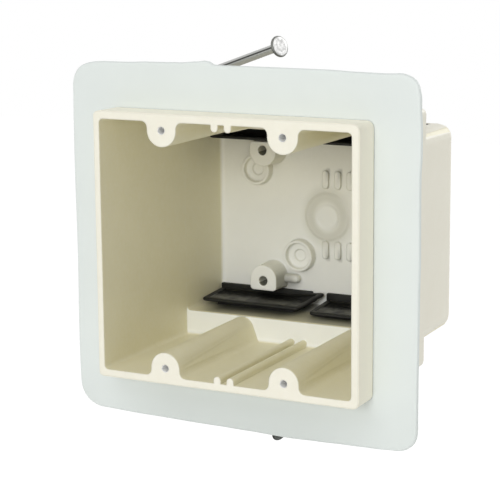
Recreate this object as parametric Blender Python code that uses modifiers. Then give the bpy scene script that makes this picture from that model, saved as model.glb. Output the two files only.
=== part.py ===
"""A two-gang new-work outlet box, nailed to the side of a wall stud before the wallboard goes up.

One deep box moulded in filled polyester, a soft sealing flange that lies against the back of the
wallboard, four rubber cable clamps set in the wire entries behind the step, and two captive nails.

Metres. +X is to the right as the opening is seen, +Y runs into the wall, +Z is up. The origin is the
centre of the box's flat back face, so the rim lies at Y = -BOX_DEPTH.
"""

import math

import bmesh
import bpy
from mathutils import Matrix, Vector

# Standard spacings of a wiring device
GANG_PITCH = 0.04604
DEVICE_SCREW_SPAN = 0.08334

# The moulded box
BOX_WIDTH = 0.1011
BOX_HEIGHT = 0.0949
BOX_DEPTH = 0.0889
SIDE_WALL = 0.0026
TOP_WALL = 0.0028
BACK_WALL = 0.0038
STEP_DEPTH = 0.0575
RISER_WALL = 0.0018
REAR_INSET = 0.0085
LOWER_LEDGE_WALL = 0.0033
UPPER_LEDGE_WALL = 0.0024
SIDE_DRAFT = math.radians(0.95)
TOP_DRAFT = math.radians(0.6)
FRONT_CORNER_RADIUS = 0.0025
REAR_EDGE_RADIUS = 0.005
RIM_ROUND = 0.0008
STEP_ROUND = 0.002
INNER_ROUND = 0.0015
PARTING_STEP = 0.00003

# Bosses that take the device screws, in the top and bottom walls
DEVICE_BOSS_RADIUS = 0.00565
DEVICE_BOSS_REAR_RADIUS = 0.0048
DEVICE_BOSS_REAR_FLARE = math.radians(20)
DEVICE_BOSS_FILLET = 0.0022
DEVICE_HOLE_RADIUS = 0.00133
DEVICE_HOLE_DEPTH = 0.022

# Paired divider ribs at the middle of the top and bottom walls
DIVIDER_WIDTH = 0.00265
DIVIDER_HEIGHT = 0.0025
DIVIDER_GAP = 0.0024

# Screw bosses on the back wall, one above and one below in each gang
BACK_BOSS_PITCH = 0.0469
BACK_BOSS_RADIUS = 0.0055
BACK_BOSS_LENGTH = 0.0096
BACK_BOSS_HOLE_RADIUS = 0.00185
BACK_BOSS_HOLE_DEPTH = 0.0085
LOWER_HOLE_FROM_FOOT = 0.0039
UPPER_HOLE_FROM_FOOT = 0.0034
BACK_BOSS_ARCH_RISE = 0.0006
BACK_BOSS_CORNER = 0.0014
BACK_BOSS_SPREAD = 1.06

# Cups moulded on the back wall beside the screw bosses, as (across, up) from the gang's axis
LOWER_CUP_PLACE = (0.0111, -0.0156)
LOWER_CUP_RADIUS = 0.0061
UPPER_CUP_PLACE = (-0.0069, 0.0168)
UPPER_CUP_RADIUS = 0.00595
CUP_HEIGHT = 0.0033
CUP_LIP = 0.0011
CUP_LIP_ROUND = 0.0003
CUP_DRAFT = 0.0002
CUP_FLOOR_HEIGHT = 0.0009
CUP_FILLET = 0.00065
CUP_DIMPLE_RADIUS = 0.0024
CUP_DIMPLE_HEIGHT = 0.0002

# Round-backed rib that runs out from each lower screw boss
STUB_LENGTH = 0.0112
STUB_WIDTH = 0.0032
STUB_HEIGHT = 0.0029
STUB_Z = -0.0249
STUB_ROUND = 0.0014

# Gate disc at the middle of the back wall, with short ribs above and below it
DISC_X = -0.0007
DISC_RADIUS = 0.0095
DISC_HEIGHT = 0.0005
DISC_SLOPE = 0.0009
DISC_DISH_RADIUS = 0.005
DISC_DISH_HEIGHT = 0.0001
FLUTE_FIRST_X = -0.0013
FLUTE_PITCH = 0.0051
FLUTE_COUNT = 3
FLUTE_WIDTH = 0.0026
FLUTE_LENGTH = 0.007
FLUTE_HEIGHT = 0.001
UPPER_FLUTE_Z = 0.0144
LOWER_FLUTE_Z = -0.0127

# Sealing flange
FLANGE_WIDTH = 0.1338
FLANGE_HEIGHT = 0.1268
FLANGE_THICKNESS = 0.0019
FLANGE_CORNER_RADIUS = 0.009
FLANGE_ROUND = 0.0007
WALLBOARD = 0.0125
GROOVE_DEPTH = 0.0006

# Rubber cable clamps, one in each wire entry
CLAMP_SHIFT = -0.002
CLAMP_SIDE_GAP = 0.0008
CLAMP_MIDDLE_GAP = 0.0046
CLAMP_REACH = 0.0178
CLAMP_PLATE = 0.0013
CLAMP_RIM = 0.0006
CLAMP_RIM_WIDTH = 0.0021
LOWER_CLAMP_TILT = math.radians(4.5)
UPPER_CLAMP_TILT = math.radians(-0.5)
CLAMP_CORNER = 0.0012
CLAMP_SPLAY = 0.0013
CLAMP_REAR_LIFT = 0.0039
CLAMP_FLAP_THICKNESS = 0.0016
CLAMP_FLAP_RISE = 0.0055
CLAMP_FLAP_TO_BOSS = 0.00035
CLAMP_FLAP_SHORT = 0.0013
CLAMP_SLIT_WIDTH = 0.0006
CLAMP_SLIT_FROM_SIDE = 0.0022
CLAMP_SKIRT_WALL = 0.0016
CLAMP_SKIRT_ROOF = 0.0013
ENTRY_FROM_SIDE = 0.0035
ENTRY_LENGTH = 0.0115
ENTRY_FROM_BACK = 0.0024
ENTRY_CORNER = 0.002

# Captive nails and their guides
NAIL_LENGTH = 0.0762
NAIL_SHANK_RADIUS = 0.00152
NAIL_HEAD_RADIUS = 0.00375
NAIL_HEAD_THICKNESS = 0.0011
NAIL_HEAD_EDGE = 0.0004
NAIL_POINT_LENGTH = 0.0042
NAIL_POINT_RADIUS = 0.0004
NAIL_POINT_PROUD = 0.0127
NAIL_STUD_DEPTH = 0.0505
NAIL_OVER_WALL = 0.0032
NAIL_TILT = math.radians(17.3)
NAIL_LEAN = math.radians(19.3)
GUIDE_WALL = 0.0017
GUIDE_LENGTH = 0.0175
GUIDE_WEB = 0.0028
GUIDE_INSET = 0.0022

# Fits
CLEARANCE = 0.0003
OVERLAP = 0.0008

# Facets on round shapes
EDGE_SEGMENTS = 4
SMALL_EDGE_SEGMENTS = 3
TINY_EDGE_SEGMENTS = 2
HALF_ROUND_SEGMENTS = 14
RIB_SEGMENTS = 8
FILLET_SEGMENTS = 4
FLANGE_CORNER_SEGMENTS = 8
HOLE_SEGMENTS = 16
GUIDE_SEGMENTS = 20
TURNED_STEPS = 32
NAIL_STEPS = 24
SHARP_ANGLE = math.radians(30)

# Worked out from the values above
LEFT = -1
RIGHT = 1
LOWER = -1
UPPER = 1
BACK_INNER_Y = -BACK_WALL
INNER_DEPTH = BOX_DEPTH - BACK_WALL
DEVICE_SCREW_Z = DEVICE_SCREW_SPAN / 2
NAIL_BORE_RADIUS = NAIL_SHANK_RADIUS + CLEARANCE


def depth_to_y(depth):
    """Y of a plane at this depth behind the rim."""
    return depth - BOX_DEPTH


def half_width(depth, inset=0.0):
    """Half of the box's outside width at a depth behind the rim, less an inset."""
    return BOX_WIDTH / 2 - inset - depth * math.tan(SIDE_DRAFT)


def half_height(depth, inset=0.0):
    """Half of the front part's outside height at a depth behind the rim, less an inset."""
    return BOX_HEIGHT / 2 - inset - depth * math.tan(TOP_DRAFT)


def rear_height(depth):
    """Half of the rear part's outside height at a depth behind the rim."""
    return half_height(depth, REAR_INSET)


def ledge_height(depth, z_sign):
    """Distance of the upper or lower ledge behind the step from the middle of the box."""
    return rear_height(depth) - (UPPER_LEDGE_WALL if z_sign == UPPER else LOWER_LEDGE_WALL)


def clamp_width():
    """Width of a clamp's plate: half of the inside of the back wall, less the gaps beside it."""
    room = half_width(INNER_DEPTH, SIDE_WALL) - abs(CLAMP_SHIFT)
    return room - CLAMP_SIDE_GAP - CLAMP_MIDDLE_GAP / 2


def make_collection(name, parent=None):
    """A new collection under a parent, or under the scene."""
    collection = bpy.data.collections.new(name)
    (parent or bpy.context.scene.collection).children.link(collection)
    return collection


def clear_scene():
    """Remove what a new file starts with."""
    for thing in list(bpy.data.objects):
        bpy.data.objects.remove(thing)
    for collection in list(bpy.data.collections):
        bpy.data.collections.remove(collection)


def add_object(name, data, collection):
    """An object for a mesh or a curve, in a collection."""
    thing = bpy.data.objects.new(name, data)
    collection.objects.link(thing)
    return thing


def mesh_object(name, bm, collection):
    """An object made of a bmesh, with its faces turned outwards."""
    bm.normal_update()
    bmesh.ops.recalc_face_normals(bm, faces=bm.faces)
    mesh = bpy.data.meshes.new(name)
    bm.to_mesh(mesh)
    bm.free()
    return add_object(name, mesh, collection)


def arc(centre, radius, start, end, segments):
    """Points along an arc, with the angles in degrees."""
    points = []
    for step in range(segments + 1):
        angle = math.radians(start + (end - start) * step / segments)
        points.append((centre[0] + radius * math.cos(angle), centre[1] + radius * math.sin(angle)))
    return points


def rounded_rectangle(half_x, half_z, radius, segments=FILLET_SEGMENTS):
    """Outline of a rectangle with round corners, anticlockwise."""
    x, z = half_x - radius, half_z - radius
    return (
        arc((x, z), radius, 0, 90, segments)
        + arc((-x, z), radius, 90, 180, segments)
        + arc((-x, -z), radius, 180, 270, segments)
        + arc((x, -z), radius, 270, 360, segments)
    )


def stadium(half_x, half_z, segments=RIB_SEGMENTS):
    """Outline of an upright slot with round ends."""
    straight = half_z - half_x
    return arc((0, straight), half_x, 0, 180, segments) + arc((0, -straight), half_x, 180, 360, segments)


def plate(name, outlines, thickness, matrix, collection):
    """A flat outline, with holes if more than one is given, as thick as asked and centred on its plane.

    The outline's own axes are X and Y, and its thickness runs along Z, before the matrix places it.
    """
    curve = bpy.data.curves.new(name, "CURVE")
    curve.dimensions = "2D"
    curve.fill_mode = "BOTH"
    curve.extrude = thickness / 2
    for outline in outlines:
        spline = curve.splines.new("POLY")
        spline.points.add(len(outline) - 1)
        for point, place in zip(spline.points, outline):
            point.co = (place[0], place[1], 0.0, 1.0)
        spline.use_cyclic_u = True
    guide = add_object(name + "_curve", curve, collection)
    bpy.context.view_layer.update()
    evaluated = guide.evaluated_get(bpy.context.evaluated_depsgraph_get())
    mesh = bpy.data.meshes.new_from_object(evaluated)
    bm = bmesh.new()
    bm.from_mesh(mesh)
    bmesh.ops.remove_doubles(bm, verts=bm.verts, dist=0.000001)
    bmesh.ops.dissolve_limit(bm, angle_limit=0.0001, verts=bm.verts, edges=bm.edges)
    bm.transform(matrix)
    bpy.data.objects.remove(guide)
    bpy.data.meshes.remove(mesh)
    return mesh_object(name, bm, collection)


def facing_wall(y):
    """Placement that stands an outline's X and Y in the world's X and Z, at this Y."""
    return Matrix.Translation((0, y, 0)) @ Matrix.Rotation(math.radians(90), 4, "X")


def loft(name, front, back, front_y, back_y, collection):
    """A solid between two outlines of as many points, one nearer the rim than the other."""
    bm = bmesh.new()
    rings = []
    for outline, y in ((front, front_y), (back, back_y)):
        rings.append([bm.verts.new((x, y, z)) for x, z in outline])
    for ring in rings:
        bm.faces.new(ring)
    count = len(front)
    for index in range(count):
        after = (index + 1) % count
        bm.faces.new((rings[0][index], rings[0][after], rings[1][after], rings[1][index]))
    return mesh_object(name, bm, collection)


def turned(name, profile, matrix, collection, steps=TURNED_STEPS):
    """A turned solid from a half profile of (radius, height), listed from its top down its outer side."""
    mesh = bpy.data.meshes.new(name)
    edges = [(index, index + 1) for index in range(len(profile) - 1)]
    mesh.from_pydata([(radius, 0.0, height) for radius, height in profile], edges, [])
    thing = add_object(name, mesh, collection)
    screw = thing.modifiers.new("turn", "SCREW")
    screw.steps = steps
    screw.render_steps = steps
    screw.use_merge_vertices = True
    screw.merge_threshold = 0.00001
    screw.use_smooth_shade = True
    thing.matrix_world = matrix
    return thing


def rod(name, radius, start, direction, length, collection, segments=HOLE_SEGMENTS):
    """A plain cylinder from a start point along a direction."""
    bm = bmesh.new()
    bmesh.ops.create_cone(
        bm, cap_ends=True, segments=segments, radius1=radius, radius2=radius, depth=length
    )
    turn = Vector((0, 0, 1)).rotation_difference(direction).to_matrix().to_4x4()
    middle = Vector(start) + Vector(direction).normalized() * (length / 2)
    bm.transform(Matrix.Translation(middle) @ turn)
    return mesh_object(name, bm, collection)


def round_edges(thing, radius_of, segments=EDGE_SEGMENTS):
    """Bevel the sharp edges for which radius_of(one end, other end) gives a radius."""
    mesh = thing.data
    bm = bmesh.new()
    bm.from_mesh(mesh)
    radii = []
    for edge in bm.edges:
        sharp = edge.calc_face_angle() > SHARP_ANGLE
        radii.append(radius_of(*(vertex.co for vertex in edge.verts)) if sharp else 0.0)
    bm.free()
    widest = max(radii)
    weights = mesh.attributes.new("bevel_weight_edge", "FLOAT", "EDGE")
    for index, radius in enumerate(radii):
        weights.data[index].value = radius / widest
    bevel = thing.modifiers.new("round", "BEVEL")
    bevel.limit_method = "WEIGHT"
    bevel.width = widest
    bevel.segments = segments
    bevel.use_clamp_overlap = False
    bevel.miter_outer = "MITER_SHARP"


def combine(thing, operation, tools):
    """An exact Boolean of an object with each tool of a collection in turn."""
    for tool in tools.objects:
        boolean = thing.modifiers.new(tool.name, "BOOLEAN")
        boolean.operation = operation
        boolean.solver = "EXACT"
        boolean.object = tool


def hide_tools(collection):
    """Show tools as wires and keep them out of the finished model."""
    for tool in collection.all_objects:
        tool.hide_render = True
        tool.display_type = "WIRE"


def paint(thing, name, colour, roughness, metallic=0.0):
    """Give an object its own material."""
    material = bpy.data.materials.new(name)
    material.use_nodes = True
    shader = material.node_tree.nodes["Principled BSDF"]
    shader.inputs["Base Color"].default_value = (*colour, 1.0)
    shader.inputs["Roughness"].default_value = roughness
    shader.inputs["Metallic"].default_value = metallic
    thing.data.materials.clear()
    thing.data.materials.append(material)


# The box


def tapered_box(name, depths, width_at, height_at, collection):
    """A box between two depths behind the rim.

    width_at gives its half width at a depth, and height_at its height above or below the middle.
    """
    bm = bmesh.new()
    bmesh.ops.create_cube(bm, size=2.0)
    for vertex in bm.verts:
        depth = depths[1] if vertex.co.y > 0 else depths[0]
        z_sign = UPPER if vertex.co.z > 0 else LOWER
        vertex.co = (vertex.co.x * width_at(depth), depth_to_y(depth), z_sign * height_at(depth, z_sign))
    return mesh_object(name, bm, collection)


def box_edge_radii(thing, front, along, back, back_upright=None):
    """Round a tapered box: its front edges, the four edges along its depth and its back edges.

    The two upright edges at the back can have a radius of their own.
    """
    middle_y = sum(vertex.co.y for vertex in thing.data.vertices) / len(thing.data.vertices)
    upright_radius = back if back_upright is None else back_upright

    def radius_of(one, other):
        if (one.y - middle_y) * (other.y - middle_y) < 0:
            return along
        if one.y < middle_y:
            return front
        return upright_radius if abs(one.z - other.z) > abs(one.x - other.x) else back

    round_edges(thing, radius_of)


def box_outside(collection, tools):
    """The outside of the moulding: a shallow front part and a lower rear part with generous radii."""
    front = tapered_box(
        "box_body",
        (0.0, STEP_DEPTH + RISER_WALL),
        half_width,
        lambda depth, z_sign: half_height(depth),
        collection,
    )
    box_edge_radii(front, RIM_ROUND, FRONT_CORNER_RADIUS, STEP_ROUND, 0.0)
    rear = tapered_box(
        "rear_outside",
        (STEP_DEPTH - REAR_EDGE_RADIUS, BOX_DEPTH),
        lambda depth: half_width(depth, PARTING_STEP),
        lambda depth, z_sign: rear_height(depth),
        tools,
    )
    box_edge_radii(rear, 0.0, REAR_EDGE_RADIUS, REAR_EDGE_RADIUS)
    return front


def cavity(collection):
    """The space inside the box: a wide front part open at the rim and a lower rear part."""
    front = tapered_box(
        "front_cavity",
        (-FRONT_CORNER_RADIUS, STEP_DEPTH),
        lambda depth: half_width(depth, SIDE_WALL),
        lambda depth, z_sign: half_height(depth, TOP_WALL),
        collection,
    )
    box_edge_radii(front, 0.0, INNER_ROUND, INNER_ROUND, 0.0)
    rear = tapered_box(
        "rear_cavity",
        (STEP_DEPTH - REAR_EDGE_RADIUS, INNER_DEPTH),
        lambda depth: half_width(depth, SIDE_WALL + PARTING_STEP),
        ledge_height,
        collection,
    )
    box_edge_radii(rear, 0.0, INNER_ROUND, INNER_ROUND)


def device_boss_outline(radius, flare, crown, wall, side, z_sign):
    """Section of a device boss: a round crown, flanks that flare by an angle, and a fillet at each foot."""
    centre_z = crown + radius
    fillet = min(DEVICE_BOSS_FILLET, wall - centre_z - CLEARANCE)
    sine, cosine, turn = math.sin(flare), math.cos(flare), math.degrees(flare)
    flank_height = wall - fillet - centre_z + radius * sine
    fillet_x = radius * cosine + (fillet + flank_height * sine) / cosine
    foot = wall + OVERLAP
    right = arc((fillet_x, wall - fillet), fillet, 90, 180 - turn, FILLET_SEGMENTS)
    dome = arc((0, centre_z), radius, -turn, turn - 180, HALF_ROUND_SEGMENTS)
    left = [(-x, z) for x, z in reversed(right)]
    outline = [(fillet_x, foot)] + right + dome + left + [(-fillet_x, foot)]
    axis = side * GANG_PITCH / 2
    return [(axis + x, z_sign * z) for x, z in outline]


def device_boss(side, z_sign, collection):
    """One tapered boss for a device screw, from the rim back to the step."""
    front = device_boss_outline(
        DEVICE_BOSS_RADIUS,
        0.0,
        DEVICE_SCREW_Z - DEVICE_BOSS_RADIUS,
        half_height(0, TOP_WALL),
        side,
        z_sign,
    )
    back = device_boss_outline(
        DEVICE_BOSS_REAR_RADIUS,
        DEVICE_BOSS_REAR_FLARE,
        ledge_height(STEP_DEPTH, z_sign) + CLEARANCE / 2,
        half_height(STEP_DEPTH, TOP_WALL),
        side,
        z_sign,
    )
    return loft(
        "device_boss", front, back, depth_to_y(0), depth_to_y(STEP_DEPTH + OVERLAP), collection
    )


def divider_rib(side, z_sign, collection):
    """One of a pair of low ribs that mark the line between the two gangs."""
    half_x = DIVIDER_WIDTH / 2
    axis = side * (DIVIDER_GAP / 2 + half_x)
    sections = []
    for depth in (0.0, STEP_DEPTH):
        wall = half_height(depth, TOP_WALL)
        crown = wall - DIVIDER_HEIGHT + half_x
        top = arc((0, crown), half_x, 0, -180, RIB_SEGMENTS)
        outline = [(half_x, wall + OVERLAP)] + top + [(-half_x, wall + OVERLAP)]
        sections.append([(axis + x, z_sign * z) for x, z in outline])
    return loft(
        "divider_rib", *sections, depth_to_y(0), depth_to_y(STEP_DEPTH + OVERLAP), collection
    )


def clamp_flap_edge():
    """Distance of the free edge of a clamp's flap from the middle of the box."""
    return ledge_height(INNER_DEPTH, LOWER) - CLAMP_FLAP_RISE


def back_boss_foot():
    """Distance of a back-wall screw boss's flat foot from the middle: it stands clear of the flap."""
    return clamp_flap_edge() - CLAMP_FLAP_TO_BOSS


def back_hole_height(z_sign):
    """Distance of an upper or lower back-wall screw hole from the middle of the box."""
    return back_boss_foot() - (UPPER_HOLE_FROM_FOOT if z_sign == UPPER else LOWER_HOLE_FROM_FOOT)


def back_boss_outline(axis_x, z_sign, spread=1.0):
    """Section of a back-wall screw boss: an arch towards the middle of the box and a flat foot."""
    corner = BACK_BOSS_CORNER
    side = BACK_BOSS_RADIUS - corner
    hole = back_hole_height(z_sign)
    foot = hole + (back_boss_foot() - hole) / BACK_BOSS_SPREAD - corner
    arch = arc((0, hole - BACK_BOSS_ARCH_RISE), BACK_BOSS_RADIUS, 0, -180, HALF_ROUND_SEGMENTS)
    left = arc((-side, foot), corner, 180, 90, FILLET_SEGMENTS)
    right = arc((side, foot), corner, 90, 0, FILLET_SEGMENTS)
    return [
        (axis_x + x * spread, z_sign * (hole + (z - hole) * spread)) for x, z in arch + left + right
    ]


def back_boss(axis_x, z_sign, collection):
    """One screw boss on the back wall."""
    return loft(
        "back_boss",
        back_boss_outline(axis_x, z_sign),
        back_boss_outline(axis_x, z_sign, BACK_BOSS_SPREAD),
        BACK_INNER_Y - BACK_BOSS_LENGTH,
        BACK_INNER_Y + OVERLAP,
        collection,
    )


def on_back_wall(x, z):
    """Placement that turns a solid's own +Z out of the back wall, towards the opening."""
    return Matrix.Translation((x, BACK_INNER_Y, z)) @ Matrix.Rotation(math.radians(90), 4, "X")


def cup(place, radius, axis_x, collection):
    """A round cup: a thin lip with a round edge, a filleted floor and a dimple at its middle."""
    inside = radius - CUP_LIP
    foot = radius + CUP_DRAFT
    fillet_centre = (inside - CUP_FILLET, CUP_FLOOR_HEIGHT + CUP_FILLET)
    lip_z = CUP_HEIGHT - CUP_LIP_ROUND
    profile = [
        (0.0, CUP_DIMPLE_HEIGHT),
        (CUP_DIMPLE_RADIUS - CUP_DRAFT, CUP_DIMPLE_HEIGHT),
        (CUP_DIMPLE_RADIUS, CUP_FLOOR_HEIGHT),
        *arc(fillet_centre, CUP_FILLET, -90, 0, TINY_EDGE_SEGMENTS),
        *arc((inside + CUP_LIP_ROUND, lip_z), CUP_LIP_ROUND, 180, 90, TINY_EDGE_SEGMENTS),
        *arc((radius - CUP_LIP_ROUND, lip_z), CUP_LIP_ROUND, 90, 0, TINY_EDGE_SEGMENTS),
        (foot, 0.0),
        (foot, -OVERLAP),
        (0.0, -OVERLAP),
    ]
    return turned("cup", profile, on_back_wall(axis_x + place[0], place[1]), collection)


def gate_disc(collection):
    """The low ring round the gate at the middle of the back wall, with a shallow dish inside it."""
    profile = [
        (0.0, DISC_DISH_HEIGHT),
        (DISC_DISH_RADIUS - DISC_SLOPE, DISC_DISH_HEIGHT),
        (DISC_DISH_RADIUS, DISC_HEIGHT),
        (DISC_RADIUS - DISC_SLOPE, DISC_HEIGHT),
        (DISC_RADIUS, 0.0),
        (DISC_RADIUS, -OVERLAP),
        (0.0, -OVERLAP),
    ]
    return turned("gate_disc", profile, on_back_wall(DISC_X, 0.0), collection)


def flute(x, z, collection):
    """A short low rib with round ends, beside the gate disc."""
    outline = [(x + dx, z + dz) for dx, dz in stadium(FLUTE_WIDTH / 2, FLUTE_LENGTH / 2)]
    middle = BACK_INNER_Y + (OVERLAP - FLUTE_HEIGHT) / 2
    return plate("flute", [outline], FLUTE_HEIGHT + OVERLAP, facing_wall(middle), collection)


def stub(axis_x, collection):
    """A short round-backed rib with domed ends that runs out from a lower screw boss."""
    x = axis_x + STUB_LENGTH / 2
    ends = rounded_rectangle(STUB_LENGTH / 2, STUB_WIDTH / 2, STUB_WIDTH / 2)
    outline = [(x + dx, STUB_Z + dz) for dx, dz in ends]
    middle = BACK_INNER_Y + (OVERLAP - STUB_HEIGHT) / 2
    rib = plate("stub", [outline], STUB_HEIGHT + OVERLAP, facing_wall(middle), collection)
    round_edges(rib, lambda one, other: STUB_ROUND if max(one.y, other.y) < middle else 0.0)


def flange_groove(collection):
    """The shallow groove round the outside that the sealing flange snaps into."""
    middle = WALLBOARD + FLANGE_THICKNESS / 2
    floor = rounded_rectangle(
        half_width(middle, GROOVE_DEPTH),
        half_height(middle, GROOVE_DEPTH),
        FRONT_CORNER_RADIUS,
    )
    around = rounded_rectangle(BOX_WIDTH, BOX_HEIGHT, FRONT_CORNER_RADIUS)
    thickness = FLANGE_THICKNESS + 2 * CLEARANCE
    plate("flange_groove", [around, floor], thickness, facing_wall(depth_to_y(middle)), collection)


def nail_axis(z_sign):
    """Where a nail crosses the stud's face, and the unit direction from its point to its head."""
    z = half_height(NAIL_STUD_DEPTH) + NAIL_OVER_WALL
    at_stud = Vector((-BOX_WIDTH / 2, depth_to_y(NAIL_STUD_DEPTH), z_sign * z))
    towards_head = Vector(
        (
            math.cos(NAIL_TILT) * math.cos(NAIL_LEAN),
            -math.cos(NAIL_TILT) * math.sin(NAIL_LEAN),
            z_sign * math.sin(NAIL_TILT),
        )
    )
    return at_stud, towards_head


def nail_guide(z_sign, collection):
    """A sleeve on the outside of the box that holds a nail at its angle, on a web of its own."""
    at_stud, direction = nail_axis(z_sign)
    start = at_stud + direction * GUIDE_INSET
    radius = NAIL_BORE_RADIUS + GUIDE_WALL
    rod("guide_sleeve", radius, start, direction, GUIDE_LENGTH, collection, GUIDE_SEGMENTS)
    run = GUIDE_LENGTH * math.cos(NAIL_TILT)
    rise = z_sign * GUIDE_LENGTH * math.sin(NAIL_TILT)
    foot = z_sign * half_height(NAIL_STUD_DEPTH, OVERLAP) - start.z
    inset = z_sign * OVERLAP * math.sin(NAIL_TILT)
    near, far = OVERLAP, run - OVERLAP
    web = [(near, foot), (far, foot), (far, rise - inset), (near, inset)]
    turn = Matrix.Rotation(-NAIL_LEAN, 4, "Z") @ Matrix.Rotation(math.radians(90), 4, "X")
    plate("guide_web", [web], GUIDE_WEB, Matrix.Translation(start) @ turn, collection)


def nail_bore(z_sign, collection):
    """The hole through a nail guide."""
    at_stud, direction = nail_axis(z_sign)
    start = at_stud + direction * (GUIDE_INSET - CLEARANCE)
    rod("nail_bore", NAIL_BORE_RADIUS, start, direction, GUIDE_LENGTH + 2 * CLEARANCE, collection)


def entry_centre(side):
    """X of the middle of a lower wire entry and its clamp."""
    return CLAMP_SHIFT + side * (clamp_width() + CLAMP_MIDDLE_GAP) / 2


def entry_box(side, inset):
    """The middle of a lower wire entry, and its half sizes less an inset on each side."""
    middle_y = BACK_INNER_Y - ENTRY_FROM_BACK - ENTRY_LENGTH / 2
    half_x = clamp_width() / 2 - ENTRY_FROM_SIDE
    return entry_centre(side), middle_y, half_x - inset, ENTRY_LENGTH / 2 - inset


def upright(x, y, z):
    """Placement that keeps an outline's X and Y in the world's X and Y."""
    return Matrix.Translation((x, y, z))


def half_turn(z_sign):
    """Placement that leaves what is made for the lower side, or turns it half round to the upper side.

    The turn is about the box's own axis, so left and right change places with it.
    """
    return Matrix.Diagonal((-z_sign, 1.0, -z_sign, 1.0))


def wire_entry(side, z_sign, collection):
    """The rectangular hole through the ledge that a cable comes in by."""
    x, y, half_x, half_y = entry_box(side, 0.0)
    outline = rounded_rectangle(half_x, half_y, ENTRY_CORNER)
    low = -rear_height(STEP_DEPTH) - OVERLAP
    high = OVERLAP - ledge_height(INNER_DEPTH, z_sign)
    place = half_turn(z_sign) @ upright(x, y, (low + high) / 2)
    return plate("wire_entry", [outline], high - low, place, collection)


def make_box(parts, tools):
    """The moulded box."""
    outer = make_collection("outside_details", tools)
    box = box_outside(parts, outer)
    for z_sign in (LOWER, UPPER):
        nail_guide(z_sign, outer)
    combine(box, "UNION", outer)

    hollow = make_collection("hollow", tools)
    flange_groove(hollow)
    cavity(hollow)
    combine(box, "DIFFERENCE", hollow)

    inner = make_collection("inside_details", tools)
    for side in (LEFT, RIGHT):
        axis_x = side * GANG_PITCH / 2
        for z_sign in (LOWER, UPPER):
            device_boss(side, z_sign, inner)
            divider_rib(side, z_sign, inner)
            back_boss(side * BACK_BOSS_PITCH / 2, z_sign, inner)
        cup(LOWER_CUP_PLACE, LOWER_CUP_RADIUS, axis_x, inner)
        cup(UPPER_CUP_PLACE, UPPER_CUP_RADIUS, axis_x, inner)
        stub(axis_x, inner)
    gate_disc(inner)
    for index in range(FLUTE_COUNT):
        x = FLUTE_FIRST_X + index * FLUTE_PITCH
        flute(x, UPPER_FLUTE_Z, inner)
        flute(x, LOWER_FLUTE_Z, inner)
    combine(box, "UNION", inner)

    holes = make_collection("holes", tools)
    into_wall = Vector((0, 1, 0))
    for side in (LEFT, RIGHT):
        for z_sign in (LOWER, UPPER):
            rod(
                "device_hole",
                DEVICE_HOLE_RADIUS,
                (side * GANG_PITCH / 2, depth_to_y(-OVERLAP), z_sign * DEVICE_SCREW_Z),
                into_wall,
                DEVICE_HOLE_DEPTH + OVERLAP,
                holes,
            )
            rod(
                "back_boss_hole",
                BACK_BOSS_HOLE_RADIUS,
                (
                    side * BACK_BOSS_PITCH / 2,
                    BACK_INNER_Y - BACK_BOSS_LENGTH - OVERLAP,
                    z_sign * back_hole_height(z_sign),
                ),
                into_wall,
                BACK_BOSS_HOLE_DEPTH + OVERLAP,
                holes,
            )
            wire_entry(side, z_sign, holes)
    for z_sign in (LOWER, UPPER):
        nail_bore(z_sign, holes)
    combine(box, "DIFFERENCE", holes)

    paint(box, "box_moulding", (0.80, 0.77, 0.66), 0.42)
    return box


# The sealing flange


def make_flange(parts):
    """A flat soft frame that fits round the box and lies against the back of the wallboard."""
    half_x, half_z = FLANGE_WIDTH / 2, FLANGE_HEIGHT / 2
    outside = rounded_rectangle(half_x, half_z, FLANGE_CORNER_RADIUS, FLANGE_CORNER_SEGMENTS)
    middle = WALLBOARD + FLANGE_THICKNESS / 2
    fit = GROOVE_DEPTH - CLEARANCE
    inside = rounded_rectangle(half_width(middle, fit), half_height(middle, fit), FRONT_CORNER_RADIUS)
    place = facing_wall(depth_to_y(middle))
    flange = plate("seal_flange", [outside, inside], FLANGE_THICKNESS, place, parts)

    def rim_radius(one, other):
        outer = all(abs(end.x) > BOX_WIDTH / 2 or abs(end.z) > BOX_HEIGHT / 2 for end in (one, other))
        return FLANGE_ROUND if outer and abs(one.y - other.y) < CLEARANCE / 10 else 0.0

    round_edges(flange, rim_radius, SMALL_EDGE_SEGMENTS)
    paint(flange, "flange_vinyl", (0.78, 0.82, 0.79), 0.6)


# The cable clamps


def clamp_tilt(z_sign):
    """How far a clamp's plate slopes down to the ledge, towards the opening."""
    return UPPER_CLAMP_TILT if z_sign == UPPER else LOWER_CLAMP_TILT


def clamp_plate_place(side, z_sign):
    """A clamp plate's own axes: X across, Y into the wall along its slope, Z towards the box's middle.

    Their origin is at the middle of the plate's rear top edge.
    """
    rear_z = CLAMP_REAR_LIFT - ledge_height(INNER_DEPTH, LOWER)
    rear = Vector((entry_centre(side), BACK_INNER_Y - 2 * CLEARANCE, rear_z))
    slope = Matrix.Rotation(clamp_tilt(z_sign), 4, "X")
    return half_turn(z_sign) @ Matrix.Translation(rear) @ slope


def clamp_flap(side, z_sign, collection):
    """The flap of a clamp, which stands against the back wall."""
    half_x = clamp_width() / 2 - CLAMP_PLATE / 2
    top = -clamp_flap_edge()
    foot = CLAMP_REAR_LIFT - CLAMP_PLATE - ledge_height(INNER_DEPTH, LOWER)
    right = half_x - CLAMP_FLAP_SHORT
    outline = [(right, foot), (right, top), (-half_x, top), (-half_x, foot)]
    middle_y = BACK_INNER_Y - CLEARANCE - CLAMP_FLAP_THICKNESS / 2
    place = half_turn(z_sign) @ Matrix.Translation((entry_centre(side), 0, 0)) @ facing_wall(middle_y)
    plate("clamp_flap", [outline], CLAMP_FLAP_THICKNESS, place, collection)


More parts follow.
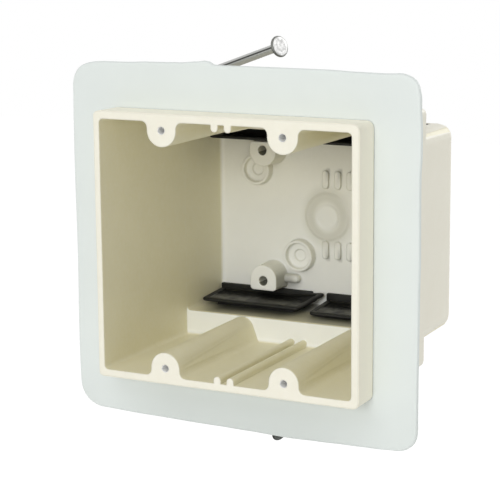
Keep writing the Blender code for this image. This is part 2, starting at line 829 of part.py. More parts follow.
def clamp_skirt(side, z_sign, inset, low, high, collection, name):
    """An upright block with round corners in a wire entry, less an inset on each side."""
    x, y, half_x, half_y = entry_box(side, inset)
    outline = rounded_rectangle(half_x, half_y, max(ENTRY_CORNER - inset, CLEARANCE))
    place = half_turn(z_sign) @ upright(x, y, (low + high) / 2)
    plate(name, [outline], high - low, place, collection)


def make_clamp(name, side, z_sign, parts, tools):
    """A rubber clamp: a sloping plate with a raised rim, a flap up the back wall and a hollow skirt.

    It is shaped for this side of the lower ledge, and an upper clamp is one of those turned half round.
    """
    place = clamp_plate_place(side, z_sign)
    half_x = clamp_width() / 2
    half_y = CLAMP_REACH / 2
    outline = []
    for x, y in rounded_rectangle(half_x, half_y, CLAMP_CORNER):
        splay = CLAMP_SPLAY * (y + half_y) / CLAMP_REACH if x > 0 else 0.0
        outline.append((x + splay, y - half_y))
    at_middle = place @ Matrix.Translation((0, 0, -CLAMP_PLATE / 2))
    clamp = plate(name, [outline], CLAMP_PLATE, at_middle, parts)

    adds = make_collection(name + "_adds", tools)
    clamp_flap(side, z_sign, adds)
    outside = -rear_height(INNER_DEPTH)
    ledge = ledge_height(INNER_DEPTH, LOWER)
    x, entry_y, slit_half_x, _ = entry_box(side, CLAMP_SLIT_FROM_SIDE)
    drop = (BACK_INNER_Y - entry_y) * math.tan(clamp_tilt(z_sign))
    in_plate = CLAMP_REAR_LIFT - CLAMP_PLATE / 2 - ledge - drop
    clamp_skirt(side, z_sign, CLEARANCE, outside, in_plate, adds, "clamp_skirt")
    combine(clamp, "UNION", adds)

    cuts = make_collection(name + "_cuts", tools)
    wall = CLEARANCE + CLAMP_SKIRT_WALL
    roof = in_plate - CLAMP_SKIRT_ROOF
    clamp_skirt(side, z_sign, wall, outside - OVERLAP, roof, cuts, "clamp_pocket")
    panel_x = half_x - CLAMP_RIM_WIDTH
    panel_y = half_y - CLAMP_RIM_WIDTH - CLAMP_FLAP_THICKNESS / 2
    middle = -half_y - CLAMP_FLAP_THICKNESS / 2
    panel = [(dx, dy + middle) for dx, dy in rounded_rectangle(panel_x, panel_y, CLAMP_CORNER)]
    plate("clamp_panel", [panel], 2 * CLAMP_RIM, place, cuts)
    slit_half_y = CLAMP_SLIT_WIDTH / 2
    slit = [
        (x + slit_half_x, entry_y - slit_half_y),
        (x + slit_half_x, entry_y + slit_half_y),
        (x - slit_half_x, entry_y + slit_half_y),
        (x - slit_half_x, entry_y - slit_half_y),
    ]
    slit_place = half_turn(z_sign) @ upright(0, 0, -ledge)
    plate("clamp_slit", [slit], 2 * CLAMP_FLAP_RISE, slit_place, cuts)
    combine(clamp, "DIFFERENCE", cuts)

    paint(clamp, name + "_rubber", (0.02, 0.02, 0.018), 0.55)


# The nails


def make_nail(name, z_sign, parts):
    """A captive wire nail: flat head, round shank and a tapered point."""
    length, edge = NAIL_LENGTH, NAIL_HEAD_EDGE
    neck = length - NAIL_HEAD_THICKNESS
    profile = [
        (0.0, length),
        (NAIL_HEAD_RADIUS - edge, length),
        (NAIL_HEAD_RADIUS, length - edge),
        (NAIL_HEAD_RADIUS, neck + edge / 2),
        (NAIL_SHANK_RADIUS + edge, neck - edge / 2),
        (NAIL_SHANK_RADIUS, neck - 3 * edge),
        (NAIL_SHANK_RADIUS, NAIL_POINT_LENGTH),
        (NAIL_POINT_RADIUS, NAIL_POINT_RADIUS),
        (0.0, 0.0),
    ]
    at_stud, direction = nail_axis(z_sign)
    point = at_stud - direction * NAIL_POINT_PROUD
    turn = Vector((0, 0, 1)).rotation_difference(direction).to_matrix().to_4x4()
    nail = turned(name, profile, Matrix.Translation(point) @ turn, parts, NAIL_STEPS)
    paint(nail, name + "_steel", (0.55, 0.55, 0.53), 0.35, 1.0)


def build():
    """Build the whole object."""
    clear_scene()
    parts = make_collection("outlet_box")
    tools = make_collection("cutters")
    make_box(parts, tools)
    make_flange(parts)
    for z_sign, height in ((UPPER, "upper"), (LOWER, "lower")):
        for side, hand in ((LEFT, "left"), (RIGHT, "right")):
            make_clamp(f"clamp_{height}_{hand}", -z_sign * side, z_sign, parts, tools)
        make_nail(f"nail_{height}", z_sign, parts)
    hide_tools(tools)


build()
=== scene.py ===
"""The looks of a two-gang new-work outlet box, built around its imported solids.

Metres. +X is to the right as the opening is seen, +Y runs into the wall and +Z is up.
"""

import math

import bmesh
import bpy
from mathutils import Matrix, Vector


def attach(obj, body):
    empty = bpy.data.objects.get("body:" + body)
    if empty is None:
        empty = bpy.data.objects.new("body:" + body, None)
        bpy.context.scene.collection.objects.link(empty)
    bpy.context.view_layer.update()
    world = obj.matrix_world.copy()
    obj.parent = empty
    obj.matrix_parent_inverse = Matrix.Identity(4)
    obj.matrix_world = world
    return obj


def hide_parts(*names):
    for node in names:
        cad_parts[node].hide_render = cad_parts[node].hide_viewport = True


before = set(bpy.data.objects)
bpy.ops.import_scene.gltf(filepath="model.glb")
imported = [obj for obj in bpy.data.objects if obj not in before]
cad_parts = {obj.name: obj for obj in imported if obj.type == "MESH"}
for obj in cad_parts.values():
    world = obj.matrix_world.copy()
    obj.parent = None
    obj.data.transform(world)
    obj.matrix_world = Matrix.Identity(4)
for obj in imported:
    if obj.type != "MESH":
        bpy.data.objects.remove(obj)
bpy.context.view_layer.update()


# The box. One deep compression moulding in cream polyester filled with chopped glass. It comes out
# of a polished steel mould, so it is satin rather than shiny, and the glass and filler leave a
# faint cloudiness and a very fine pebble in its skin.


def linear(hex_colour):
    """The linear RGBA of an sRGB hex colour."""
    channels = []
    for start in (1, 3, 5):
        value = int(hex_colour[start : start + 2], 16) / 255
        channels.append(value / 12.92 if value <= 0.04045 else ((value + 0.055) / 1.055) ** 2.4)
    return (*channels, 1.0)


def add_node(material, kind, settings=None, inputs=None):
    """Add a shader node, set its properties, and fill or link its inputs.

    An input's value is a plain value, or the output socket that feeds it.
    """
    tree = material.node_tree
    node = tree.nodes.new(kind)
    for name, value in (settings or {}).items():
        setattr(node, name, value)
    for name, value in (inputs or {}).items():
        if isinstance(value, bpy.types.NodeSocket):
            tree.links.new(value, node.inputs[name])
        else:
            node.inputs[name].default_value = value
    return node


def empty_material(name):
    """A new material without nodes."""
    material = bpy.data.materials.new(name)
    material.use_nodes = True
    material.node_tree.nodes.clear()
    return material


# Settings that many nodes share: a soft step from one value to another, and a mix of colours
SOFT_STEP = {"interpolation_type": "SMOOTHSTEP"}
COLOURS = {"data_type": "RGBA"}

# Limits that tell the inside of the box from its outside: half way through its walls
INSIDE_X = 0.0486
FRONT_INSIDE_Z = 0.046
REAR_INSIDE_Z = 0.0369
BACK_INSIDE_Y = -0.0019
STEP_Y = -0.0299
# Just behind the rim's face, and the back of the collar in front of the flange
RIM_BACK_Y = -0.0886
COLLAR_BACK_Y = -0.0762
# The side of the core's end, and the fronts of what stands on the back wall
CORE_END_X = 0.0455
BOSSES_FRONT_Y = -0.0165
STUB_FRONT_Y = -0.013
CUPS_FRONT_Y = -0.0125
FLUTES_FRONT_Y = -0.006
# The height beyond which the ledges lie, the depths from which the painted shadow of the clamps on
# them is faint and full, and the middle of the gap between the lower two clamps
LEDGE_Z = 0.034
LEDGE_SHADOW_START_Y = -0.0334
LEDGE_SHADOW_FULL_Y = -0.0215
CLAMP_GAP_X = -0.0022
# The disc on the back wall, a little taller than wide, and the ring of painted shade round it
DISC_CENTRE = (-0.0007, 0.0, 0.0)
DISC_SQUASH = 0.86
RING_INSIDE = (0.0034, 0.0064)
RING_OUTSIDE = (0.0068, 0.0122)
# The holes of the device screws in the rim, and those of the two screw bosses on the back wall
DEVICE_HOLE = (0.02302, 0.0, 0.04167)
DEVICE_HOLE_RADIUS = 0.0014
DEVICE_HOLE_END_Y = -0.06
BACK_HOLE = (0.02345, 0.0, 0.02525)
BACK_HOLE_RADIUS = 0.00175
# The flutes' pitch, the share of it that they are shifted by, and the middle of both rows
FLUTE_PITCH = 0.0051
FLUTE_SHIFT = 0.755
FLUTES_X = 0.0038
FLUTES_HALF_X = 0.0078
FLUTES_Z = 0.00085
# Where the painted shade at their far ends sets in and stops, up and down from that middle
FLUTE_END = (0.0112, 0.0168)
PAST_FLUTE_END = (0.0172, 0.0185)
# The stub beside each lower screw boss, repeated at the spacing of the gangs, and half the size of
# the painted shadow round it
GANG_PITCH = 0.04604
STUB_X = -0.018
STUB_Z = -0.0262
STUB_SHADE = (0.0076, 0.0058)

polyester = empty_material("moulded_glass_filled_polyester")
here = add_node(polyester, "ShaderNodeTexCoord").outputs["Object"]
face = add_node(polyester, "ShaderNodeNewGeometry")
at = add_node(polyester, "ShaderNodeSeparateXYZ", inputs={"Vector": here})
facing = add_node(polyester, "ShaderNodeSeparateXYZ", inputs={"Vector": face.outputs["Normal"]})
across = add_node(polyester, "ShaderNodeMath", {"operation": "ABSOLUTE"}, {0: at.outputs["X"]})
height = add_node(polyester, "ShaderNodeMath", {"operation": "ABSOLUTE"}, {0: at.outputs["Z"]})
in_width = add_node(
    polyester, "ShaderNodeMath", {"operation": "LESS_THAN"}, {0: across.outputs[0], 1: INSIDE_X}
)
in_rear = add_node(
    polyester, "ShaderNodeMath", {"operation": "GREATER_THAN"}, {0: at.outputs["Y"], 1: STEP_Y}
)
wall_z = add_node(
    polyester, "ShaderNodeMath", {"operation": "MULTIPLY_ADD"},
    {0: in_rear.outputs[0], 1: REAR_INSIDE_Z - FRONT_INSIDE_Z, 2: FRONT_INSIDE_Z},
)
in_height = add_node(
    polyester, "ShaderNodeMath", {"operation": "LESS_THAN"},
    {0: height.outputs[0], 1: wall_z.outputs[0]},
)
before_back = add_node(
    polyester, "ShaderNodeMath", {"operation": "LESS_THAN"}, {0: at.outputs["Y"], 1: BACK_INSIDE_Y}
)
inside = in_width
for limit in (in_height, before_back):
    inside = add_node(
        polyester, "ShaderNodeMath", {"operation": "MULTIPLY"},
        {0: inside.outputs[0], 1: limit.outputs[0]},
    )
behind_rim = add_node(
    polyester, "ShaderNodeMath", {"operation": "GREATER_THAN"}, {0: at.outputs["Y"], 1: RIM_BACK_Y}
)

# Inside the box the walls that run along its depth are painted warmer and a little darker, as
# painted shade and warm bounced light, and the faces square to the depth are painted paler, as
# painted light.
square_on = add_node(
    polyester, "ShaderNodeMath", {"operation": "ABSOLUTE"}, {0: facing.outputs["Y"]}
)
side_facing = add_node(
    polyester, "ShaderNodeMapRange",
    inputs={
        "Value": square_on.outputs[0], "From Min": 0.3, "From Max": 0.8, "To Min": 1.0,
        "To Max": 0.0,
    },
)
# The warm painted shade is mostly left off the low features on the back wall, except near the sides
off_end = add_node(
    polyester, "ShaderNodeMapRange",
    inputs={
        "Value": at.outputs["Y"], "From Min": BOSSES_FRONT_Y, "From Max": CUPS_FRONT_Y,
        "To Min": 1.0, "To Max": 0.2,
    },
)
beside_end = add_node(
    polyester, "ShaderNodeMath", {"operation": "GREATER_THAN"},
    {0: across.outputs[0], 1: CORE_END_X},
)
off_end = add_node(
    polyester, "ShaderNodeMath", {"operation": "MAXIMUM"},
    {0: off_end.outputs[0], 1: beside_end.outputs[0]},
)
warm_shade_share = inside
for share in (side_facing, off_end):
    warm_shade_share = add_node(
        polyester, "ShaderNodeMath", {"operation": "MULTIPLY"},
        {0: warm_shade_share.outputs[0], 1: share.outputs[0]},
    )

# Cloudy patches where the glass lies thicker, about 9 mm across, and finer ones of 1.6 mm
cloud = add_node(
    polyester, "ShaderNodeTexNoise",
    inputs={"Vector": here, "Scale": 1 / 0.009, "Detail": 3.0, "Roughness": 0.55},
)
fleck = add_node(
    polyester, "ShaderNodeTexNoise", inputs={"Vector": here, "Scale": 1 / 0.0016, "Detail": 2.0}
)
outer_tone = add_node(
    polyester, "ShaderNodeMix", COLOURS,
    {"Factor": cloud.outputs["Fac"], 6: linear("#EFECDD"), 7: linear("#EAE6D5")},
)
# The outside of the collar in front of the flange is painted paler, as painted light on its sides
collar = add_node(
    polyester, "ShaderNodeMath", {"operation": "LESS_THAN"}, {0: at.outputs["Y"], 1: COLLAR_BACK_Y}
)
collar_painted_light = add_node(
    polyester, "ShaderNodeMath", {"operation": "MULTIPLY"},
    {0: collar.outputs[0], 1: behind_rim.outputs[0]},
)
outer_tone = add_node(
    polyester, "ShaderNodeMix", COLOURS,
    {"Factor": collar_painted_light.outputs[0], 6: outer_tone.outputs[2], 7: linear("#FFFAE7")},
)
# The inside faces square to the depth are painted paler than the outside, as painted light
inner_tone = add_node(
    polyester, "ShaderNodeMix", COLOURS,
    {"Factor": cloud.outputs["Fac"], 6: linear("#F4F5F2"), 7: linear("#EFF0EA")},
)
# The upper part of the inside is painted darker and yellower, as painted shade under the top wall
upper_inside_shade = add_node(
    polyester, "ShaderNodeMapRange", SOFT_STEP,
    {"Value": at.outputs["Z"], "From Min": -0.012, "From Max": 0.03},
)
inner_tone = add_node(
    polyester, "ShaderNodeMix", COLOURS,
    {"Factor": upper_inside_shade.outputs["Result"], 6: inner_tone.outputs[2], 7: linear("#EAE7D8")},
)
shaded_share = add_node(
    polyester, "ShaderNodeMath", {"operation": "MULTIPLY"},
    {0: inside.outputs[0], 1: behind_rim.outputs[0]},
)
inside_outside_tone = add_node(
    polyester, "ShaderNodeMix", COLOURS,
    {"Factor": shaded_share.outputs[0], 6: outer_tone.outputs[2], 7: inner_tone.outputs[2]},
)
# The warm tone of the walls along the depth is painted shade and bounced light
warm_shade_tone = add_node(
    polyester, "ShaderNodeMix", COLOURS,
    {"Factor": cloud.outputs["Fac"], 6: linear("#EEE8CA"), 7: linear("#E8E2C1")},
)
wall_tone = add_node(
    polyester, "ShaderNodeMix", COLOURS,
    {"Factor": warm_shade_share.outputs[0], 6: inside_outside_tone.outputs[2], 7: warm_shade_tone.outputs[2]},
)
fleck_share = add_node(
    polyester, "ShaderNodeMapRange",
    inputs={
        "Value": fleck.outputs["Fac"], "From Min": 0.35, "From Max": 0.75, "To Min": 0.0,
        "To Max": 0.15,
    },
)
skin_colour = add_node(
    polyester, "ShaderNodeMix", COLOURS,
    {"Factor": fleck_share.outputs["Result"], 6: wall_tone.outputs[2], 7: linear("#F5F3E9")},
)

# Painted shadow of the clamps on the two ledges, darkest beside their lips. It is lighter in the
# gap between the two lower clamps.
ledge_shadow_depth = add_node(
    polyester, "ShaderNodeMapRange", SOFT_STEP,
    {
        "Value": at.outputs["Y"], "From Min": LEDGE_SHADOW_START_Y, "From Max": LEDGE_SHADOW_FULL_Y, "To Min": 0.4,
        "To Max": 0.9,
    },
)
ledge_shadow_across = add_node(
    polyester, "ShaderNodeMapRange", SOFT_STEP,
    {
        "Value": across.outputs[0], "From Min": 0.046, "From Max": 0.036, "To Min": 0.12,
        "To Max": 1.0,
    },
)
from_gap = add_node(
    polyester, "ShaderNodeMath", {"operation": "SUBTRACT"}, {0: at.outputs["X"], 1: CLAMP_GAP_X}
)
from_gap = add_node(
    polyester, "ShaderNodeMath", {"operation": "ABSOLUTE"}, {0: from_gap.outputs[0]}
)
beside_gap = add_node(
    polyester, "ShaderNodeMapRange", SOFT_STEP,
    {
        "Value": from_gap.outputs[0], "From Min": 0.001, "From Max": 0.009, "To Min": 0.66,
        "To Max": 1.0,
    },
)
near_ledge = add_node(
    polyester, "ShaderNodeMath", {"operation": "GREATER_THAN"}, {0: height.outputs[0], 1: LEDGE_Z}
)
level = add_node(polyester, "ShaderNodeMath", {"operation": "ABSOLUTE"}, {0: facing.outputs["Z"]})
flat_ledge = add_node(
    polyester, "ShaderNodeMapRange",
    inputs={"Value": level.outputs[0], "From Min": 0.5, "From Max": 0.9},
)
ledge_painted_shadow = ledge_shadow_depth
for share in (ledge_shadow_across, beside_gap, inside, in_rear, near_ledge, flat_ledge):
    ledge_painted_shadow = add_node(
        polyester, "ShaderNodeMath", {"operation": "MULTIPLY"},
        {0: ledge_painted_shadow.outputs[0], 1: share.outputs[0]},
    )
# Mix in the painted shadow of the clamps on the ledges
skin_colour = add_node(
    polyester, "ShaderNodeMix", COLOURS,
    {"Factor": ledge_painted_shadow.outputs[0], 6: skin_colour.outputs[2], 7: linear("#363936")},
)

# A ring round the disc on the back wall is painted a shade darker, as painted shade of the disc's
# relief.
disc_plane = add_node(
    polyester, "ShaderNodeVectorMath", {"operation": "MULTIPLY"},
    {0: here, 1: (1.0, 0.0, DISC_SQUASH)},
)
from_disc = add_node(
    polyester, "ShaderNodeVectorMath", {"operation": "DISTANCE"},
    {0: disc_plane.outputs[0], 1: DISC_CENTRE},
)
ring_inside = add_node(
    polyester, "ShaderNodeMapRange", SOFT_STEP,
    {"Value": from_disc.outputs["Value"], "From Min": RING_INSIDE[0], "From Max": RING_INSIDE[1]},
)
ring_outside = add_node(
    polyester, "ShaderNodeMapRange", SOFT_STEP,
    {
        "Value": from_disc.outputs["Value"], "From Min": RING_OUTSIDE[1],
        "From Max": RING_OUTSIDE[0], "To Max": 0.42,
    },
)
on_back = add_node(
    polyester, "ShaderNodeMath", {"operation": "GREATER_THAN"},
    {0: at.outputs["Y"], 1: FLUTES_FRONT_Y},
)
on_back = add_node(
    polyester, "ShaderNodeMath", {"operation": "MULTIPLY"},
    {0: on_back.outputs[0], 1: inside.outputs[0]},
)
disc_ring_shade = ring_inside
for share in (ring_outside, on_back):
    disc_ring_shade = add_node(
        polyester, "ShaderNodeMath", {"operation": "MULTIPLY"},
        {0: disc_ring_shade.outputs[0], 1: share.outputs[0]},
    )
skin_colour = add_node(
    polyester, "ShaderNodeMix", COLOURS,
    {"Factor": disc_ring_shade.outputs[0], 6: skin_colour.outputs[2], 7: linear("#B4B19C")},
)

# The device screw holes in the rim are coloured nearly white inside
folded = add_node(
    polyester, "ShaderNodeVectorMath", {"operation": "MULTIPLY"}, {0: here, 1: (1.0, 0.0, 1.0)}
)
folded = add_node(
    polyester, "ShaderNodeVectorMath", {"operation": "ABSOLUTE"}, {0: folded.outputs[0]}
)
from_hole = add_node(
    polyester, "ShaderNodeVectorMath", {"operation": "DISTANCE"},
    {0: folded.outputs[0], 1: DEVICE_HOLE},
)
in_hole = add_node(
    polyester, "ShaderNodeMath", {"operation": "LESS_THAN"},
    {0: from_hole.outputs["Value"], 1: DEVICE_HOLE_RADIUS},
)
near_rim = add_node(
    polyester, "ShaderNodeMath", {"operation": "LESS_THAN"},
    {0: at.outputs["Y"], 1: DEVICE_HOLE_END_Y},
)
pale_hole = add_node(
    polyester, "ShaderNodeMath", {"operation": "MULTIPLY"},
    {0: in_hole.outputs[0], 1: near_rim.outputs[0]},
)
skin_colour = add_node(
    polyester, "ShaderNodeMix", COLOURS,
    {"Factor": pale_hole.outputs[0], 6: skin_colour.outputs[2], 7: linear("#FAFAF8")},
)

# The far ends of the six short flutes, the holes of the two screw bosses on the back wall and the
# corners round the stubs are painted darker, as painted shade and shadow.
along_row = add_node(
    polyester, "ShaderNodeMath", {"operation": "MULTIPLY_ADD"},
    {0: at.outputs["X"], 1: 1 / FLUTE_PITCH, 2: FLUTE_SHIFT},
)
along_row = add_node(polyester, "ShaderNodeMath", {"operation": "FRACT"}, {0: along_row.outputs[0]})
flute_side = add_node(
    polyester, "ShaderNodeMapRange", SOFT_STEP,
    {"Value": along_row.outputs[0], "From Min": 0.4, "From Max": 0.66},
)
past_side = add_node(
    polyester, "ShaderNodeMapRange", SOFT_STEP,
    {"Value": along_row.outputs[0], "From Min": 0.9, "From Max": 0.76, "To Max": 0.32},
)
along_flute = add_node(
    polyester, "ShaderNodeMath", {"operation": "SUBTRACT"}, {0: at.outputs["Z"], 1: FLUTES_Z}
)
along_flute = add_node(
    polyester, "ShaderNodeMath", {"operation": "ABSOLUTE"}, {0: along_flute.outputs[0]}
)
flute_end = add_node(
    polyester, "ShaderNodeMapRange", SOFT_STEP,
    {"Value": along_flute.outputs[0], "From Min": FLUTE_END[0], "From Max": FLUTE_END[1]},
)
past_end = add_node(
    polyester, "ShaderNodeMapRange", SOFT_STEP,
    {"Value": along_flute.outputs[0], "From Min": PAST_FLUTE_END[1], "From Max": PAST_FLUTE_END[0]},
)
by_flutes = add_node(
    polyester, "ShaderNodeMath", {"operation": "COMPARE"},
    {0: at.outputs["X"], 1: FLUTES_X, 2: FLUTES_HALF_X},
)
flute_painted_shade = flute_end
for share in (past_end, flute_side, past_side, by_flutes, on_back):
    flute_painted_shade = add_node(
        polyester, "ShaderNodeMath", {"operation": "MULTIPLY"},
        {0: flute_painted_shade.outputs[0], 1: share.outputs[0]},
    )

from_back_hole = add_node(
    polyester, "ShaderNodeVectorMath", {"operation": "DISTANCE"},
    {0: folded.outputs[0], 1: BACK_HOLE},
)
hole_painted_shade = add_node(
    polyester, "ShaderNodeMath", {"operation": "LESS_THAN"},
    {0: from_back_hole.outputs["Value"], 1: BACK_HOLE_RADIUS},
)
hole_painted_shade = add_node(
    polyester, "ShaderNodeMath", {"operation": "MULTIPLY"},
    {0: hole_painted_shade.outputs[0], 1: inside.outputs[0]},
)
hole_painted_shade = add_node(
    polyester, "ShaderNodeMath", {"operation": "MULTIPLY"}, {0: hole_painted_shade.outputs[0], 1: 0.78}
)

in_gang = add_node(
    polyester, "ShaderNodeMath", {"operation": "WRAP"}, {0: at.outputs["X"], 1: 0.0, 2: -GANG_PITCH}
)
stub_across = add_node(
    polyester, "ShaderNodeMath", {"operation": "SUBTRACT"}, {0: in_gang.outputs[0], 1: STUB_X}
)
stub_up = add_node(
    polyester, "ShaderNodeMath", {"operation": "SUBTRACT"}, {0: at.outputs["Z"], 1: STUB_Z}
)
from_stub = add_node(
    polyester, "ShaderNodeCombineXYZ", inputs={"X": stub_across.outputs[0], "Y": stub_up.outputs[0]}
)
from_stub = add_node(
    polyester, "ShaderNodeVectorMath", {"operation": "MULTIPLY"},
    {0: from_stub.outputs[0], 1: (1 / STUB_SHADE[0], 1 / STUB_SHADE[1], 0.0)},
)
from_stub = add_node(
    polyester, "ShaderNodeVectorMath", {"operation": "LENGTH"}, {0: from_stub.outputs[0]}
)
stub_painted_shadow = add_node(
    polyester, "ShaderNodeMapRange", SOFT_STEP,
    {"Value": from_stub.outputs["Value"], "From Min": 1.0, "From Max": 0.3, "To Max": 0.48},
)
near_back = add_node(
    polyester, "ShaderNodeMath", {"operation": "GREATER_THAN"},
    {0: at.outputs["Y"], 1: STUB_FRONT_Y},
)
for share in (near_back, inside):
    stub_painted_shadow = add_node(
        polyester, "ShaderNodeMath", {"operation": "MULTIPLY"},
        {0: stub_painted_shadow.outputs[0], 1: share.outputs[0]},
    )
back_wall_painted_shade = flute_painted_shade
for share in (hole_painted_shade, stub_painted_shadow):
    back_wall_painted_shade = add_node(
        polyester, "ShaderNodeMath", {"operation": "MAXIMUM"},
        {0: back_wall_painted_shade.outputs[0], 1: share.outputs[0]},
    )
# Mix in the painted shade of the flutes, the holes and the stubs
skin_colour = add_node(
    polyester, "ShaderNodeMix", COLOURS,
    {"Factor": back_wall_painted_shade.outputs[0], 6: skin_colour.outputs[2], 7: linear("#55543F")},
)

skin_roughness = add_node(
    polyester, "ShaderNodeMapRange",
    inputs={"Value": fleck.outputs["Fac"], "To Min": 0.36, "To Max": 0.5},
)
# The skin's pebble is really about 0.15 mm across. It is drawn at 0.45 mm, so that it shows.
pebble = add_node(
    polyester, "ShaderNodeTexNoise", inputs={"Vector": here, "Scale": 1 / 0.00045, "Detail": 1.0}
)
# Every edge comes out of the mould a little soft
soft_edges = add_node(polyester, "ShaderNodeBevel", {"samples": 8}, {"Radius": 0.0009})
skin_bump = add_node(
    polyester, "ShaderNodeBump",
    inputs={
        "Height": pebble.outputs["Fac"], "Strength": 0.12, "Distance": 0.00012,
        "Normal": soft_edges.outputs["Normal"],
    },
)
skin = add_node(
    polyester, "ShaderNodeBsdfPrincipled",
    inputs={
        "Base Color": skin_colour.outputs[2], "Roughness": skin_roughness.outputs["Result"],
        "Normal": skin_bump.outputs["Normal"], "IOR": 1.5,
    },
)
add_node(polyester, "ShaderNodeOutputMaterial", inputs={"Surface": skin.outputs["BSDF"]})
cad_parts["box_body"].data.materials.clear()
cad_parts["box_body"].data.materials.append(polyester)


# The sealing flange. A soft pale vinyl frame moulded on its own and snapped into a groove round
# the box. It is held only at its inner edge, so its outer edge has crept a little out of true.

FLANGE_HALF_X = 0.0669
FLANGE_HALF_Z = 0.0634
FLANGE_CORNER = 0.009
GROOVE_HALF_X = 0.05003
GROOVE_HALF_Z = 0.04701
GROOVE_CORNER = 0.0025
FLANGE_FRONT_Y = -0.0764
FLANGE_THICKNESS = 0.0019
FLANGE_EDGE = 0.0007
# The waves in the free part of the flange, and how far its lower edge hangs back
WAVE_HEIGHT = 0.00022
WAVE_ACROSS = 0.0125
WAVE_UP = 0.0105
FLANGE_DROOP = 0.0009
# Only points beyond these belong to a side of the outer edge
SIDE_X = 0.055
SIDE_Z = 0.05
# Points along each side and round each corner
FLANGE_STEPS = (60, 8)
EDGE_STEPS = 4


def rounded_outline(low, high, corner, side_steps, corner_steps):
    """Points round a rectangle with round corners, upwards from the lower right corner."""
    centres = [
        (high[0] - corner, low[1] + corner, -90),
        (high[0] - corner, high[1] - corner, 0),
        (low[0] + corner, high[1] - corner, 90),
        (low[0] + corner, low[1] + corner, 180),
    ]
    points = []
    for index, (x, z, start) in enumerate(centres):
        for step in range(corner_steps + 1):
            angle = math.radians(start + 90 * step / corner_steps)
            points.append(Vector((x + corner * math.cos(angle), z + corner * math.sin(angle))))
        next_x, next_z, next_start = centres[(index + 1) % 4]
        turn = math.radians(next_start)
        end = Vector((next_x + corner * math.cos(turn), next_z + corner * math.sin(turn)))
        begin = points[-1]
        for step in range(1, side_steps):
            points.append(begin.lerp(end, step / side_steps))
    return points


def join_rings(bm, rings, closed):
    """Skin a run of rings of equal point counts, with its ends joined if closed, or else capped.

    Gives the faces of each strip between two rings.
    """
    rows = [[bm.verts.new(point) for point in ring] for ring in rings]
    count = len(rows[0])
    faces = []
    pairs = list(zip(rows, rows[1:]))
    if closed:
        pairs.append((rows[-1], rows[0]))
    for one, other in pairs:
        strip = []
        for index in range(count):
            after = (index + 1) % count
            strip.append(bm.faces.new((one[index], one[after], other[after], other[index])))
        faces.append(strip)
    if not closed:
        faces.append([bm.faces.new(rows[0]), bm.faces.new(rows[-1])])
    return faces


def smooth_object(name, bm, materials):
    """A smooth-shaded object from a mesh, with its faces turned outwards."""
    bmesh.ops.recalc_face_normals(bm, faces=bm.faces)
    for one in bm.faces:
        one.smooth = True
    data = bpy.data.meshes.new(name)
    bm.to_mesh(data)
    bm.free()
    for material in materials:
        data.materials.append(material)
    thing = bpy.data.objects.new(name, data)
    bpy.context.scene.collection.objects.link(thing)
    return thing


def between(value, stops):
    """The height at a value on a smooth curve through stops of (value, height)."""
    if value <= stops[0][0]:
        return stops[0][1]
    for (low, start), (high, end) in zip(stops, stops[1:]):
        if value <= high:
            share = (value - low) / (high - low)
            return start + (end - start) * share * share * (3 - 2 * share)
    return stops[-1][1]


# How far the outer edge has crept outwards, in mm by place along each side in mm
TOP_CREEP = (
    (-66, 0.0), (-60, -0.6), (-54, -0.25), (-46, -0.2), (-35, 0.2), (-23, 0.35), (-16, 0.9),
    (-12.2, 1.4), (-10.4, 0.1), (-8, -0.1), (33, -0.15), (44, -0.5), (54, -0.65), (60, -0.3),
    (65, 0.0),
)
BOTTOM_CREEP = (
    (-60, 0.1), (-40, 0.6), (-10, 1.1), (0, 1.35), (18, 1.8), (29, 1.5), (40, 1.2), (51, 1.05),
    (58, 0.75), (63, 1.0),
)
RIGHT_CREEP = (
    (-61, -0.25), (-55, -0.75), (-42, -0.6), (-30, -0.45), (-10, -0.5), (2, -0.3), (30, -0.3),
    (36, 0.0), (44, 0.0), (53, -0.5), (57, -0.4), (61, 0.5),
)


def flange_point(inner, outer, share, depth):
    """A point of the flange between its groove and its edge, with the edge's creep and waves."""
    edge = outer.copy()
    if outer.y > SIDE_Z:
        edge.y += between(outer.x * 1000, TOP_CREEP) / 1000
    if outer.y < -SIDE_Z:
        edge.y -= between(outer.x * 1000, BOTTOM_CREEP) / 1000
    if outer.x > SIDE_X:
        edge.x += between(outer.y * 1000, RIGHT_CREEP) / 1000
    flat = inner.lerp(edge, share)
    wave = math.sin(flat.x / WAVE_ACROSS + 0.8) * WAVE_HEIGHT
    wave += math.sin(flat.y / WAVE_UP + 2.1) * WAVE_HEIGHT
    droop = FLANGE_DROOP * max(0.0, -outer.y / FLANGE_HALF_Z) ** 6
    bend = share * share * (wave + droop)
    return Vector((flat.x, FLANGE_FRONT_Y + depth + bend, flat.y))


groove_low, groove_high = (-GROOVE_HALF_X, -GROOVE_HALF_Z), (GROOVE_HALF_X, GROOVE_HALF_Z)
groove_line = rounded_outline(groove_low, groove_high, GROOVE_CORNER, *FLANGE_STEPS)
edge_arc = []
for step in range(EDGE_STEPS + 1):
    angle = math.radians(90 * step / EDGE_STEPS)
    edge_arc.append((FLANGE_EDGE * (1 - math.sin(angle)), FLANGE_EDGE * (1 - math.cos(angle))))
